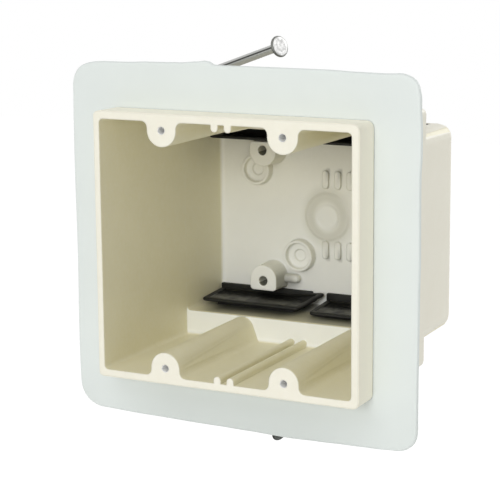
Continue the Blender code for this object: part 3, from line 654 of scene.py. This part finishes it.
# Each row: share of the way out, how far the outline is drawn in at the rounded edge, and depth
rows = [(share, 0.0, 0.0) for share in (0.0, 0.03, 0.1, 0.2, 0.32, 0.45, 0.58, 0.7, 0.8, 0.89)]
rows += [(1.0, inset, depth) for inset, depth in edge_arc]
rows += [(1.0, inset, FLANGE_THICKNESS - depth) for inset, depth in reversed(edge_arc)]
rows += [(share, 0.0, FLANGE_THICKNESS) for share in (0.89, 0.7, 0.45, 0.2, 0.03, 0.0)]
flange_rings = []
for share, inset, depth in rows:
    outer_line = rounded_outline(
        (inset - FLANGE_HALF_X, inset - FLANGE_HALF_Z),
        (FLANGE_HALF_X - inset, FLANGE_HALF_Z - inset),
        FLANGE_CORNER - inset,
        *FLANGE_STEPS,
    )
    flange_rings.append(
        [flange_point(inner, outer, share, depth) for inner, outer in zip(groove_line, outer_line)]
    )
flange_mesh = bmesh.new()
join_rings(flange_mesh, flange_rings, closed=True)

# The mould is finely grained, so the vinyl is matt, and soft vinyl looks slightly milky, in patches
# about 20 mm across. The grain is really about 0.1 mm and drawn at 0.7 mm, so that it shows.
vinyl = empty_material("soft_moulded_vinyl")
here = add_node(vinyl, "ShaderNodeTexCoord").outputs["Object"]
at = add_node(vinyl, "ShaderNodeSeparateXYZ", inputs={"Vector": here})
milk = add_node(
    vinyl, "ShaderNodeTexNoise", inputs={"Vector": here, "Scale": 1 / 0.02, "Detail": 2.0}
)
milky_colour = add_node(
    vinyl, "ShaderNodeMix", COLOURS,
    {"Factor": milk.outputs["Fac"], 6: linear("#E0E6E3"), 7: linear("#DBE1DE")},
)
# The middle of the lower side is painted a shade greyer, as painted shadow cast by the box
flange_lower_shadow = add_node(
    vinyl, "ShaderNodeMapRange", SOFT_STEP,
    {
        "Value": at.outputs["Z"], "From Min": -0.044, "From Max": -0.056, "To Min": 0.0,
        "To Max": 0.6,
    },
)
flange_shadow_across = add_node(vinyl, "ShaderNodeMath", {"operation": "ABSOLUTE"}, {0: at.outputs["X"]})
flange_shadow_middle = add_node(
    vinyl, "ShaderNodeMapRange", SOFT_STEP,
    {
        "Value": flange_shadow_across.outputs[0], "From Min": 0.06, "From Max": 0.02, "To Min": 0.1,
        "To Max": 1.0,
    },
)
flange_shadow_share = add_node(
    vinyl, "ShaderNodeMath", {"operation": "MULTIPLY"},
    {0: flange_lower_shadow.outputs["Result"], 1: flange_shadow_middle.outputs["Result"]},
)
vinyl_colour = add_node(
    vinyl, "ShaderNodeMix", COLOURS,
    {"Factor": flange_shadow_share.outputs[0], 6: milky_colour.outputs[2], 7: linear("#C6CCC8")},
)
grain = add_node(
    vinyl, "ShaderNodeTexNoise", inputs={"Vector": here, "Scale": 1 / 0.0007, "Detail": 1.0}
)
vinyl_bump = add_node(
    vinyl, "ShaderNodeBump",
    inputs={"Height": grain.outputs["Fac"], "Strength": 0.1, "Distance": 0.0001},
)
vinyl_skin = add_node(
    vinyl, "ShaderNodeBsdfPrincipled",
    inputs={
        "Base Color": vinyl_colour.outputs[2], "Roughness": 0.55, "IOR": 1.53,
        "Normal": vinyl_bump.outputs["Normal"],
    },
)
add_node(vinyl, "ShaderNodeOutputMaterial", inputs={"Surface": vinyl_skin.outputs["BSDF"]})

flange = smooth_object("sealing_flange", flange_mesh, [vinyl])
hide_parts("seal_flange")
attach(flange, "root")


# The cable clamps. Four black rubber mouldings pushed into the wire entries from inside: a tray
# with a raised rim and a slit for the cable, a flap up the back wall and a hollow skirt in the
# entry. The tray's panel is grained, with a painted grey sheen in patches, and its rim and flap are
# smoother and blacker.

# A clamp's rear top edge is its origin, at this depth and height in the lower entries
CLAMP_REAR_Y = -0.0044
CLAMP_SEAT_Z = -0.03086
# The tray, whose sides splay outwards to the front
CLAMP_WIDTH = 0.04144
CLAMP_REACH = 0.0178
CLAMP_THICKNESS = 0.0013
CLAMP_SPLAY = 0.0013
TRAY_CORNER = 0.0016
CLAMP_RIM = 0.0021
PANEL_SINK = 0.00062
# How much of the tray a curled corner takes with it, across and to the front
CURL_ACROSS = 0.0125
CURL_FORWARD = CURL_ACROSS / 1.15
# The slit, half its size each way
SLIT_Y = -0.00755
SLIT_HALF = (0.015, 0.00012)
SLIT_CORNER = 0.0001
# The flap, which runs past the tray on the left and stops short of it on the right
FLAP_BOTTOM = -0.0013
FLAP_TOP = 0.0016
FLAP_FRONT = -0.0013
FLAP_BACK = 0.0003
FLAP_PAST = 0.0004
FLAP_SHORT = 0.002
FLAP_EDGE = 0.0003
# The skirt, half its size each way outside, and how deep in the tray it starts
SKIRT_HALF = (0.01692, 0.00545)
SKIRT_WALL = 0.0016
SKIRT_CORNER = 0.0017
SKIRT_INNER_CORNER = 0.0004
SKIRT_BOTTOM = -0.0072
SKIRT_START = -0.00095
# Points along each side and round each corner of the tray and the slit, and of the skirt
TRAY_STEPS = (16, 5)
SKIRT_STEPS = (6, 5)

# The tray's panel comes from a blasted face of the mould, and is painted pale grey in patches about
# 5 mm across, as a painted sheen. The grain is really about 0.15 mm and drawn at 0.4 mm, so that it
# shows.
grained = empty_material("grained_black_rubber")
here = add_node(grained, "ShaderNodeTexCoord").outputs["Object"]
sheen_noise = add_node(
    grained, "ShaderNodeTexNoise",
    inputs={"Vector": here, "Scale": 1 / 0.005, "Detail": 3.0, "Roughness": 0.6},
)
painted_sheen_share = add_node(
    grained, "ShaderNodeMapRange",
    inputs={"Value": sheen_noise.outputs["Fac"], "From Min": 0.38, "From Max": 0.6},
)
# The rear half of the panel, under the flap, gets none of the painted sheen, as painted shade
at = add_node(grained, "ShaderNodeSeparateXYZ", inputs={"Vector": here})
shade_line = add_node(
    grained, "ShaderNodeMath", {"operation": "MULTIPLY_ADD"},
    {0: sheen_noise.outputs["Fac"], 1: 0.009, 2: at.outputs["Y"]},
)
unshaded_share = add_node(
    grained, "ShaderNodeMapRange", SOFT_STEP,
    {"Value": shade_line.outputs[0], "From Min": -0.003, "From Max": -0.007},
)
painted_sheen_share = add_node(
    grained, "ShaderNodeMath", {"operation": "MULTIPLY"},
    {0: painted_sheen_share.outputs["Result"], 1: unshaded_share.outputs["Result"]},
)
# Black rubber, painted grey where the painted sheen falls
grained_colour = add_node(
    grained, "ShaderNodeMix", COLOURS,
    {"Factor": painted_sheen_share.outputs[0], 6: linear("#1B1B19"), 7: linear("#666661")},
)
grained_roughness = add_node(
    grained, "ShaderNodeMapRange",
    inputs={"Value": painted_sheen_share.outputs[0], "To Min": 0.42, "To Max": 0.6},
)
grained_shine = add_node(
    grained, "ShaderNodeMapRange",
    inputs={"Value": unshaded_share.outputs["Result"], "To Min": 0.04, "To Max": 0.35},
)
# Soft rubber shrinks unevenly as it cures, which leaves shallow hollows about 4 mm across
hollow = add_node(
    grained, "ShaderNodeTexNoise", inputs={"Vector": here, "Scale": 1 / 0.004, "Detail": 1.0}
)
hollow_bump = add_node(
    grained, "ShaderNodeBump",
    inputs={"Height": hollow.outputs["Fac"], "Strength": 0.8, "Distance": 0.0006},
)
blasting = add_node(
    grained, "ShaderNodeTexNoise", inputs={"Vector": here, "Scale": 1 / 0.0004, "Detail": 1.0}
)
grained_bump = add_node(
    grained, "ShaderNodeBump",
    inputs={
        "Height": blasting.outputs["Fac"], "Strength": 0.25, "Distance": 0.0001,
        "Normal": hollow_bump.outputs["Normal"],
    },
)
grained_skin = add_node(
    grained, "ShaderNodeBsdfPrincipled",
    inputs={
        "Base Color": grained_colour.outputs[2], "Roughness": grained_roughness.outputs["Result"],
        "IOR": 1.52, "Specular IOR Level": grained_shine.outputs["Result"],
        "Normal": grained_bump.outputs["Normal"],
    },
)
add_node(grained, "ShaderNodeOutputMaterial", inputs={"Surface": grained_skin.outputs["BSDF"]})

# The rest comes from polished faces, and is blacker with a dull sheen. Wax blooms to the skin of
# cured rubber in faint patches about 6 mm across.
rubber = empty_material("smooth_black_rubber")
here = add_node(rubber, "ShaderNodeTexCoord").outputs["Object"]
bloom = add_node(
    rubber, "ShaderNodeTexNoise", inputs={"Vector": here, "Scale": 1 / 0.006, "Detail": 3.0}
)
rubber_colour = add_node(
    rubber, "ShaderNodeMix", COLOURS,
    {"Factor": bloom.outputs["Fac"], 6: linear("#191917"), 7: linear("#262623")},
)
rubber_roughness = add_node(
    rubber, "ShaderNodeMapRange",
    inputs={"Value": bloom.outputs["Fac"], "To Min": 0.4, "To Max": 0.55},
)
rubber_skin = add_node(
    rubber, "ShaderNodeBsdfPrincipled",
    inputs={
        "Base Color": rubber_colour.outputs[2], "Roughness": rubber_roughness.outputs["Result"],
        "IOR": 1.52, "Specular IOR Level": 0.25,
    },
)
add_node(rubber, "ShaderNodeOutputMaterial", inputs={"Surface": rubber_skin.outputs["BSDF"]})


def clamp_object(name, tilt, drop, curl):
    """One clamp as it sits in a lower entry. Its origin is the middle of its tray's rear top edge.

    The tilt is the tray's slope down to the front, and the drop is how far it sags below the flap.
    The curl is how far its free rear corner has lifted, pushed out sideways and drawn in.
    """
    bm = bmesh.new()
    half = CLAMP_WIDTH / 2
    slope = math.tan(tilt)

    def laid(flat, depth):
        """A point of the tray, with its splayed side, slope and curled corner."""
        reach = (flat.y + CLAMP_REACH) / CLAMP_REACH
        side = max(0.0, flat.x / half)
        x = flat.x + CLAMP_SPLAY * reach * side
        near = max(0.0, 1 - math.hypot((half - flat.x) / CURL_ACROSS, flat.y / CURL_FORWARD))
        lift = near * near * (3 - 2 * near)
        z = flat.y * slope - drop + depth + curl[0] * lift
        return Vector((x + curl[1] * lift, flat.y + curl[2] * lift, z))

    def tray_outline(inset):
        low = (-half + inset, -CLAMP_REACH + inset)
        high = (half - inset, -inset)
        return rounded_outline(low, high, max(TRAY_CORNER - inset * 0.6, 0.0003), *TRAY_STEPS)

    panel_line = tray_outline(CLAMP_RIM + 0.0006)
    slit_low = (-SLIT_HALF[0], SLIT_Y - SLIT_HALF[1])
    slit_high = (SLIT_HALF[0], SLIT_Y + SLIT_HALF[1])
    slit_line = rounded_outline(slit_low, slit_high, SLIT_CORNER, *TRAY_STEPS)

    def towards_slit(share):
        return [one.lerp(other, share) for one, other in zip(panel_line, slit_line)]

    # Each row: inset from the tray's outer edge, and depth below the rim's top, over its soft rim
    # and down its inner side to the panel
    upper = [(0.0, 0.00062), (0.00006, 0.00036), (0.00022, 0.00014), (0.00045, 0.00003)]
    upper += [(0.0008, 0.0), (CLAMP_RIM - 0.0006, 0.0), (CLAMP_RIM - 0.0002, 0.00008)]
    upper += [(CLAMP_RIM, 0.00026), (CLAMP_RIM + 0.00022, PANEL_SINK - 0.00008)]
    upper += [(CLAMP_RIM + 0.0006, PANEL_SINK)]
    rings = [[laid(point, -down) for point in tray_outline(inset)] for inset, down in upper]
    grained_start = len(rings) - 3
    # The panel, to a slightly raised lip round the slit
    panel = ((0.25, 0.0), (0.5, 0.0), (0.75, 0.0), (0.9, 0.0001), (0.97, 0.00014), (1.0, 0.00002))
    for share, raised in panel:
        rings.append([laid(point, raised - PANEL_SINK) for point in towards_slit(share)])
    grained_end = len(rings) - 1
    # The underside, from the slit back to the outer edge
    for share in (1.0, 0.7, 0.3, 0.0):
        rings.append([laid(point, -CLAMP_THICKNESS) for point in towards_slit(share)])
    for inset, down in ((0.0008, 0.0013), (0.0003, 0.00124), (0.00008, 0.00105), (0.0, 0.00085)):
        rings.append([laid(point, -down) for point in tray_outline(inset)])
    strips = join_rings(bm, rings, closed=True)
    for strip in strips[grained_start:grained_end]:
        for one in strip:
            one.material_index = 1

    # The flap up the back wall, a strip with soft edges and ends
    left, right = -half - FLAP_PAST, half - FLAP_SHORT
    stations = [(left, 0.0005), (left + 0.00015, 0.00022), (left + 0.0005, 0.0)]
    stations += [(left + (right - left) * step / 8, 0.0) for step in range(1, 8)]
    stations += [(right - 0.0005, 0.0), (right - 0.00015, 0.00022), (right, 0.0005)]
    flap_rings = []
    for x, inset in stations:
        low, high = (FLAP_FRONT + inset, FLAP_BOTTOM - drop), (FLAP_BACK - inset, FLAP_TOP - inset)
        section = rounded_outline(low, high, FLAP_EDGE, 2, 4)
        flap_rings.append([Vector((x, point.x, point.y)) for point in section])
    join_rings(bm, flap_rings, closed=False)

    # The hollow skirt. Each row: how far it stands out from the wall's face, and the height above
    # its foot, or None where it starts inside the tray's thickness.
    outer_rows = ((0.0, None), (0.0, 0.0005), (-0.0001, 0.0002), (-0.0004, 0.0))
    inner_rows = ((0.0002, 0.0), (0.0, 0.0003), (0.0, None))
    inner_half = SKIRT_HALF[0] - SKIRT_WALL, SKIRT_HALF[1] - SKIRT_WALL
    skirt_rings = []
    for (half_x, half_y), corner, rows in (
        (SKIRT_HALF, SKIRT_CORNER, outer_rows),
        (inner_half, SKIRT_INNER_CORNER, inner_rows),
    ):
        for out, up in rows:
            low = (-half_x - out, SLIT_Y - half_y - out)
            high = (half_x + out, SLIT_Y + half_y + out)
            ring = []
            for point in rounded_outline(low, high, corner, *SKIRT_STEPS):
                start = point.y * slope - drop + SKIRT_START
                ring.append(Vector((point.x, point.y, start if up is None else SKIRT_BOTTOM + up)))
            skirt_rings.append(ring)
    join_rings(bm, skirt_rings, closed=True)
    return smooth_object(name, bm, [rubber, grained])


# Each row: node, place across, -1 for a lower entry or 1 for an upper one, tilt in degrees, drop
# and curl. An upper clamp is rolled half a turn, which mirrors its place across.
seated = (0.0, 0.0, 0.0)
clamps = [
    ("clamp_lower_left", -0.02502, -1, 3.4, 0.0, (0.0016, 0.0021, -0.0006)),
    ("clamp_lower_right", 0.02062, -1, 4.5, 0.0008, seated),
    ("clamp_upper_right", -0.02502, 1, -0.5, -0.0004, seated),
    ("clamp_upper_left", 0.02102, 1, -0.5, -0.0004, seated),
]
for node, centre, z_sign, tilt, drop, curl in clamps:
    clamp = clamp_object("rubber_" + node, math.radians(tilt), drop, curl)
    turned = Matrix.Diagonal((-z_sign, 1.0, -z_sign, 1.0))
    clamp.matrix_world = turned @ Matrix.Translation((centre, CLAMP_REAR_Y, CLAMP_SEAT_Z))
    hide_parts(node)
    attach(clamp, "root")


# The nails. Low-carbon steel wire, drawn through a die, headed cold and pinched to a four-sided
# point. The gripping dies leave ridges under the head, and the heading punch leaves the face of the
# head bright. A dark line along the shank and the dark rim of the head are painted reflections.

NAIL_LENGTH = 0.0762
SHANK_RADIUS = 0.00152
HEAD_RADIUS = 0.00375
HEAD_THICKNESS = 0.0011
HEAD_CHAMFER = 0.0004
POINT_LENGTH = 0.0048
# The ridges that the gripping dies leave
GRIP_COUNT = 7
GRIP_PITCH = 0.0012
GRIP_LENGTH = 0.0105
GRIP_DEPTH = 0.00012
# Where the upper nail passes the side against the stud, its slope up and its lean to the front
STUD_FACE = (-0.05055, -0.0384, 0.050121)
NAIL_TILT = math.radians(17.1)
NAIL_LEAN = math.radians(19.3)
# Points round the nail
NAIL_STEPS = 48


def wire_material(name, placement, face_colours, rim_reflection_colour, shank_colours, painted_line_turn):
    """Drawn steel with colours for the head's face, its rim as a painted reflection and the shank,
    and a painted dark reflection line at one angle.

    The placement is the nail's own, and its inverse gives back the place along and round it.
    """
    wire = empty_material(name)
    here = add_node(wire, "ShaderNodeTexCoord").outputs["Object"]
    # The place on the nail as if it stood on its point at the origin
    straight = add_node(
        wire, "ShaderNodeMapping", {"vector_type": "TEXTURE"},
        {"Vector": here, "Location": placement.to_translation(), "Rotation": placement.to_euler()},
    )
    at = add_node(wire, "ShaderNodeSeparateXYZ", inputs={"Vector": straight.outputs["Vector"]})
    # Pits that the punch leaves in the head, about 1 mm across
    pits = add_node(
        wire, "ShaderNodeTexNoise", inputs={"Vector": here, "Scale": 1 / 0.0011, "Detail": 3.0}
    )
    pit_share = add_node(
        wire, "ShaderNodeMapRange",
        inputs={"Value": pits.outputs["Fac"], "From Min": 0.35, "From Max": 0.65},
    )
    face_colour = add_node(
        wire, "ShaderNodeMix", COLOURS,
        {
            "Factor": pit_share.outputs["Result"], 6: linear(face_colours[0]),
            7: linear(face_colours[1]),
        },
    )
    # Fine lines from the die, really 0.05 mm apart and drawn at 0.25 mm, stretched along the wire
    stretched = add_node(
        wire, "ShaderNodeMapping",
        inputs={
            "Vector": straight.outputs["Vector"], "Scale": (1 / 0.00025, 1 / 0.00025, 1 / 0.02),
        },
    )
    lines = add_node(
        wire, "ShaderNodeTexNoise",
        inputs={"Vector": stretched.outputs["Vector"], "Scale": 1.0, "Detail": 2.0},
    )
    shank_colour = add_node(
        wire, "ShaderNodeMix", COLOURS,
        {"Factor": lines.outputs["Fac"], 6: linear(shank_colours[0]), 7: linear(shank_colours[1])},
    )
    # A dark line along the shank at one angle round it, a painted reflection
    turn = add_node(
        wire, "ShaderNodeMath", {"operation": "ARCTAN2"}, {0: at.outputs["Y"], 1: at.outputs["X"]}
    )
    off_painted_line = add_node(
        wire, "ShaderNodeMath", {"operation": "SUBTRACT"},
        {0: turn.outputs[0], 1: math.radians(painted_line_turn)},
    )
    off_painted_line = add_node(wire, "ShaderNodeMath", {"operation": "ABSOLUTE"}, {0: off_painted_line.outputs[0]})
    painted_line = add_node(
        wire, "ShaderNodeMapRange", SOFT_STEP,
        {
            "Value": off_painted_line.outputs[0], "From Min": 0.12, "From Max": 0.3, "To Min": 0.9,
            "To Max": 0.0,
        },
    )
    painted_line_colour = add_node(
        wire, "ShaderNodeMix", COLOURS,
        {"Factor": painted_line.outputs["Result"], 6: shank_colour.outputs[2], 7: linear("#2E2F2B")},
    )
    from_axis = add_node(
        wire, "ShaderNodeVectorMath", {"operation": "MULTIPLY"},
        {0: straight.outputs["Vector"], 1: (1.0, 1.0, 0.0)},
    )
    from_axis = add_node(
        wire, "ShaderNodeVectorMath", {"operation": "LENGTH"}, {0: from_axis.outputs[0]}
    )
    on_head = add_node(
        wire, "ShaderNodeMath", {"operation": "GREATER_THAN"},
        {0: at.outputs["Z"], 1: NAIL_LENGTH - HEAD_THICKNESS},
    )
    # The head's rim and underside are darker, a painted reflection
    head_colour = add_node(
        wire, "ShaderNodeMix", COLOURS,
        {"Factor": on_head.outputs[0], 6: painted_line_colour.outputs[2], 7: linear(rim_reflection_colour)},
    )
    on_face = add_node(
        wire, "ShaderNodeMath", {"operation": "GREATER_THAN"},
        {0: at.outputs["Z"], 1: NAIL_LENGTH - 0.00012},
    )
    in_face = add_node(
        wire, "ShaderNodeMapRange", SOFT_STEP,
        {
            "Value": from_axis.outputs["Value"], "From Min": HEAD_RADIUS - 0.0003,
            "From Max": HEAD_RADIUS - 0.0007,
        },
    )
    on_face = add_node(
        wire, "ShaderNodeMath", {"operation": "MULTIPLY"},
        {0: on_face.outputs[0], 1: in_face.outputs["Result"]},
    )
    wire_colour = add_node(
        wire, "ShaderNodeMix", COLOURS,
        {"Factor": on_face.outputs[0], 6: head_colour.outputs[2], 7: face_colour.outputs[2]},
    )
    wire_roughness = add_node(
        wire, "ShaderNodeMapRange",
        inputs={"Value": pits.outputs["Fac"], "To Min": 0.38, "To Max": 0.55},
    )
    wire_bump = add_node(
        wire, "ShaderNodeBump",
        inputs={"Height": lines.outputs["Fac"], "Strength": 0.25, "Distance": 0.0001},
    )
    wire_skin = add_node(
        wire, "ShaderNodeBsdfPrincipled",
        inputs={
            "Base Color": wire_colour.outputs[2], "Roughness": wire_roughness.outputs["Result"],
            "Metallic": 1.0, "Normal": wire_bump.outputs["Normal"],
        },
    )
    add_node(wire, "ShaderNodeOutputMaterial", inputs={"Surface": wire_skin.outputs["BSDF"]})
    return wire


def nail_object(name, placement, material):
    """A nail that runs along its placement's Z, with its point at the placement's origin."""
    neck = NAIL_LENGTH - HEAD_THICKNESS
    # Each row: distance along the nail, radius, how square the section is, and how deep its grip
    rows = [(0.0, 0.00018, 1.0, 0.0), (0.0004, 0.00042, 1.0, 0.0), (0.0016, 0.0008, 1.0, 0.0)]
    rows += [(0.0032, 0.00126, 0.9, 0.0), (0.0042, 0.00148, 0.5, 0.0)]
    rows += [(along, SHANK_RADIUS, 0.0, 0.0) for along in (POINT_LENGTH, 0.012, 0.04)]
    for ridge in range(GRIP_COUNT):
        start = neck - GRIP_LENGTH + ridge * GRIP_PITCH
        ridge_rows = ((0.0, 0.0), (0.00035, GRIP_DEPTH), (0.0007, GRIP_DEPTH), (0.00095, 0.0))
        rows += [(start + further, SHANK_RADIUS, 0.0, grip) for further, grip in ridge_rows]
    # The swelling under the head, its underside, its rim and its slightly hollow face
    head = [
        (neck - 0.0011, SHANK_RADIUS),
        (neck - 0.0006, SHANK_RADIUS + 0.00012),
        (neck - 0.0002, SHANK_RADIUS + 0.0005),
        (neck + 0.0001, HEAD_RADIUS - 0.00035),
        (neck + 0.00025, HEAD_RADIUS - 0.0001),
        (neck + 0.0005, HEAD_RADIUS),
        (NAIL_LENGTH - HEAD_CHAMFER, HEAD_RADIUS),
        (NAIL_LENGTH - 0.00016, HEAD_RADIUS - 0.0001),
        (NAIL_LENGTH - 0.00005, HEAD_RADIUS - 0.00032),
        (NAIL_LENGTH, HEAD_RADIUS - 0.0008),
        (NAIL_LENGTH, 0.002),
        (NAIL_LENGTH - 0.00003, 0.0007),
    ]
    rows += [(along, radius, 0.0, 0.0) for along, radius in head]
    rings = []
    for along, radius, squareness, grip in rows:
        ring = []
        for step in range(NAIL_STEPS):
            angle = math.tau * step / NAIL_STEPS
            square = 1 / max(abs(math.cos(angle)), abs(math.sin(angle)))
            gripped = grip * max(0.0, math.cos(2 * angle)) ** 0.5
            reach = radius * (1 + (square - 1) * squareness * 0.9) - gripped
            point = Vector((reach * math.cos(angle), reach * math.sin(angle), along))
            ring.append(placement @ point)
        rings.append(ring)
    bm = bmesh.new()
    join_rings(bm, rings, closed=False)
    return smooth_object(name, bm, [material])


bright = (("#B4B4B3", "#DEDEDD"), "#737470", ("#A6A7A4", "#CBCBC9"), -121.0)
# The lower nail is painted darker all over, as painted shade and a dark reflection from below
shaded_finish = (("#474A46", "#6A6D68"), "#3E403C", ("#8E8F8B", "#B0B0AD"), -179.5)
# Each row: node, 1 for the upper nail or -1 for the lower, how far its point stands out past the
# stud's face, and its finish
nails = [
    ("nail_upper", 1, 0.0122, "bright_headed_steel_wire", bright),
    ("nail_lower", -1, 0.0127, "steel_wire_painted_dark", shaded_finish),
]
for node, z_sign, proud, steel, finish in nails:
    at_stud = Vector((STUD_FACE[0], STUD_FACE[1], z_sign * STUD_FACE[2]))
    flat, up = math.cos(NAIL_TILT), z_sign * math.sin(NAIL_TILT)
    along = Vector((flat * math.cos(NAIL_LEAN), -flat * math.sin(NAIL_LEAN), up))
    turn = Vector((0, 0, 1)).rotation_difference(along).to_matrix().to_4x4()
    placement = Matrix.Translation(at_stud - along * proud) @ turn
    nail = nail_object("wire_" + node, placement, wire_material(steel, placement, *finish))
    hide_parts(node)
    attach(nail, "root")


# The studio. A white sweep with soft boxes low in front, high in front and behind on the right. The
# box hangs from a stud when it is in use, so the floor is well below it.

FLOOR_Z = -0.4
FLOOR_SIZE = 6.0
AIM = (0.0, -0.05, 0.0)
# The camera's place in metres, and in degrees its turn to the left, its view down and its roll
CAMERA_PLACE = (0.28017, -0.60062, 0.11676)
CAMERA_TURN = 27.77
CAMERA_DOWN = 11.10
CAMERA_ROLL = -0.48

floor_mesh = bmesh.new()
bmesh.ops.create_grid(floor_mesh, x_segments=1, y_segments=1, size=FLOOR_SIZE / 2)
floor_data = bpy.data.meshes.new("floor")
floor_mesh.to_mesh(floor_data)
floor_mesh.free()
floor = bpy.data.objects.new("floor", floor_data)
floor.location = (0.0, 0.0, FLOOR_Z)
bpy.context.scene.collection.objects.link(floor)


def seen_directly(material):
    """1 where a ray comes from the camera, off a gloss or through glass, and 0 where it lights."""
    path = add_node(material, "ShaderNodeLightPath")
    seen = path.outputs["Is Camera Ray"]
    for ray in ("Is Glossy Ray", "Is Transmission Ray"):
        inputs = {0: seen, 1: path.outputs[ray]}
        seen = add_node(material, "ShaderNodeMath", {"operation": "MAXIMUM"}, inputs).outputs[0]
    return seen


# Matt white paper. It lights the box as paper does, but what the camera sees of it is mostly glow,
# so that it is white and only the box's shadow darkens it.
paper = empty_material("white_studio_paper")
paper_seen = seen_directly(paper)
paper_matt = add_node(paper, "ShaderNodeBsdfDiffuse", inputs={"Color": linear("#F4F4F2")})
paper_shade = add_node(paper, "ShaderNodeBsdfDiffuse", inputs={"Color": linear("#7C7C7C")})
paper_glow = add_node(paper, "ShaderNodeEmission", inputs={"Color": (1, 1, 1, 1), "Strength": 0.93})
paper_white = add_node(
    paper, "ShaderNodeAddShader", inputs={0: paper_shade.outputs[0], 1: paper_glow.outputs[0]}
)
paper_mix = add_node(
    paper, "ShaderNodeMixShader",
    inputs={0: paper_seen, 1: paper_matt.outputs[0], 2: paper_white.outputs[0]},
)
add_node(paper, "ShaderNodeOutputMaterial", inputs={"Surface": paper_mix.outputs[0]})
floor_data.materials.append(paper)

# The sky fills the shadows softly, and looks white
world = bpy.data.worlds.new("studio")
bpy.context.scene.world = world
world.use_nodes = True
world.node_tree.nodes.clear()
sky_fill = add_node(
    world, "ShaderNodeBackground", inputs={"Color": linear("#FFFFFF"), "Strength": 0.45}
)
sky_white = add_node(world, "ShaderNodeBackground", inputs={"Color": (1, 1, 1, 1), "Strength": 1.0})
sky_mix = add_node(
    world, "ShaderNodeMixShader",
    inputs={0: seen_directly(world), 1: sky_fill.outputs[0], 2: sky_white.outputs[0]},
)
add_node(world, "ShaderNodeOutputWorld", inputs={"Surface": sky_mix.outputs[0]})


def add_softbox(name, place, size, watts):
    """A square area lamp at a place, aimed at the middle of the box."""
    lamp = bpy.data.lights.new(name, "AREA")
    lamp.size = size
    lamp.energy = watts
    thing = bpy.data.objects.new(name, lamp)
    thing.location = place
    aim = Vector(AIM) - Vector(place)
    thing.rotation_euler = aim.to_track_quat("-Z", "Y").to_euler()
    bpy.context.scene.collection.objects.link(thing)


add_softbox("low_front_softbox", (0.244, -1.59, 0.36), 0.5, 8.1)
add_softbox("high_front_softbox", (0.0, -1.181, 1.131), 1.0, 5.6)
add_softbox("rear_right_softbox", (0.725, 1.206, 0.676), 0.7, 10.4)

camera_data = bpy.data.cameras.new("camera")
camera_data.lens = 126.8
camera_data.sensor_width = 36.0
camera_data.clip_start = 0.01
camera = bpy.data.objects.new("camera", camera_data)
camera.matrix_world = (
    Matrix.Translation(CAMERA_PLACE)
    @ Matrix.Rotation(math.radians(CAMERA_TURN), 4, "Z")
    @ Matrix.Rotation(math.radians(90 - CAMERA_DOWN), 4, "X")
    @ Matrix.Rotation(math.radians(CAMERA_ROLL), 4, "Z")
)
bpy.context.scene.collection.objects.link(camera)
bpy.context.scene.camera = camera
bpy.context.scene.view_settings.view_transform = "Standard"

bpy.context.view_layer.update()
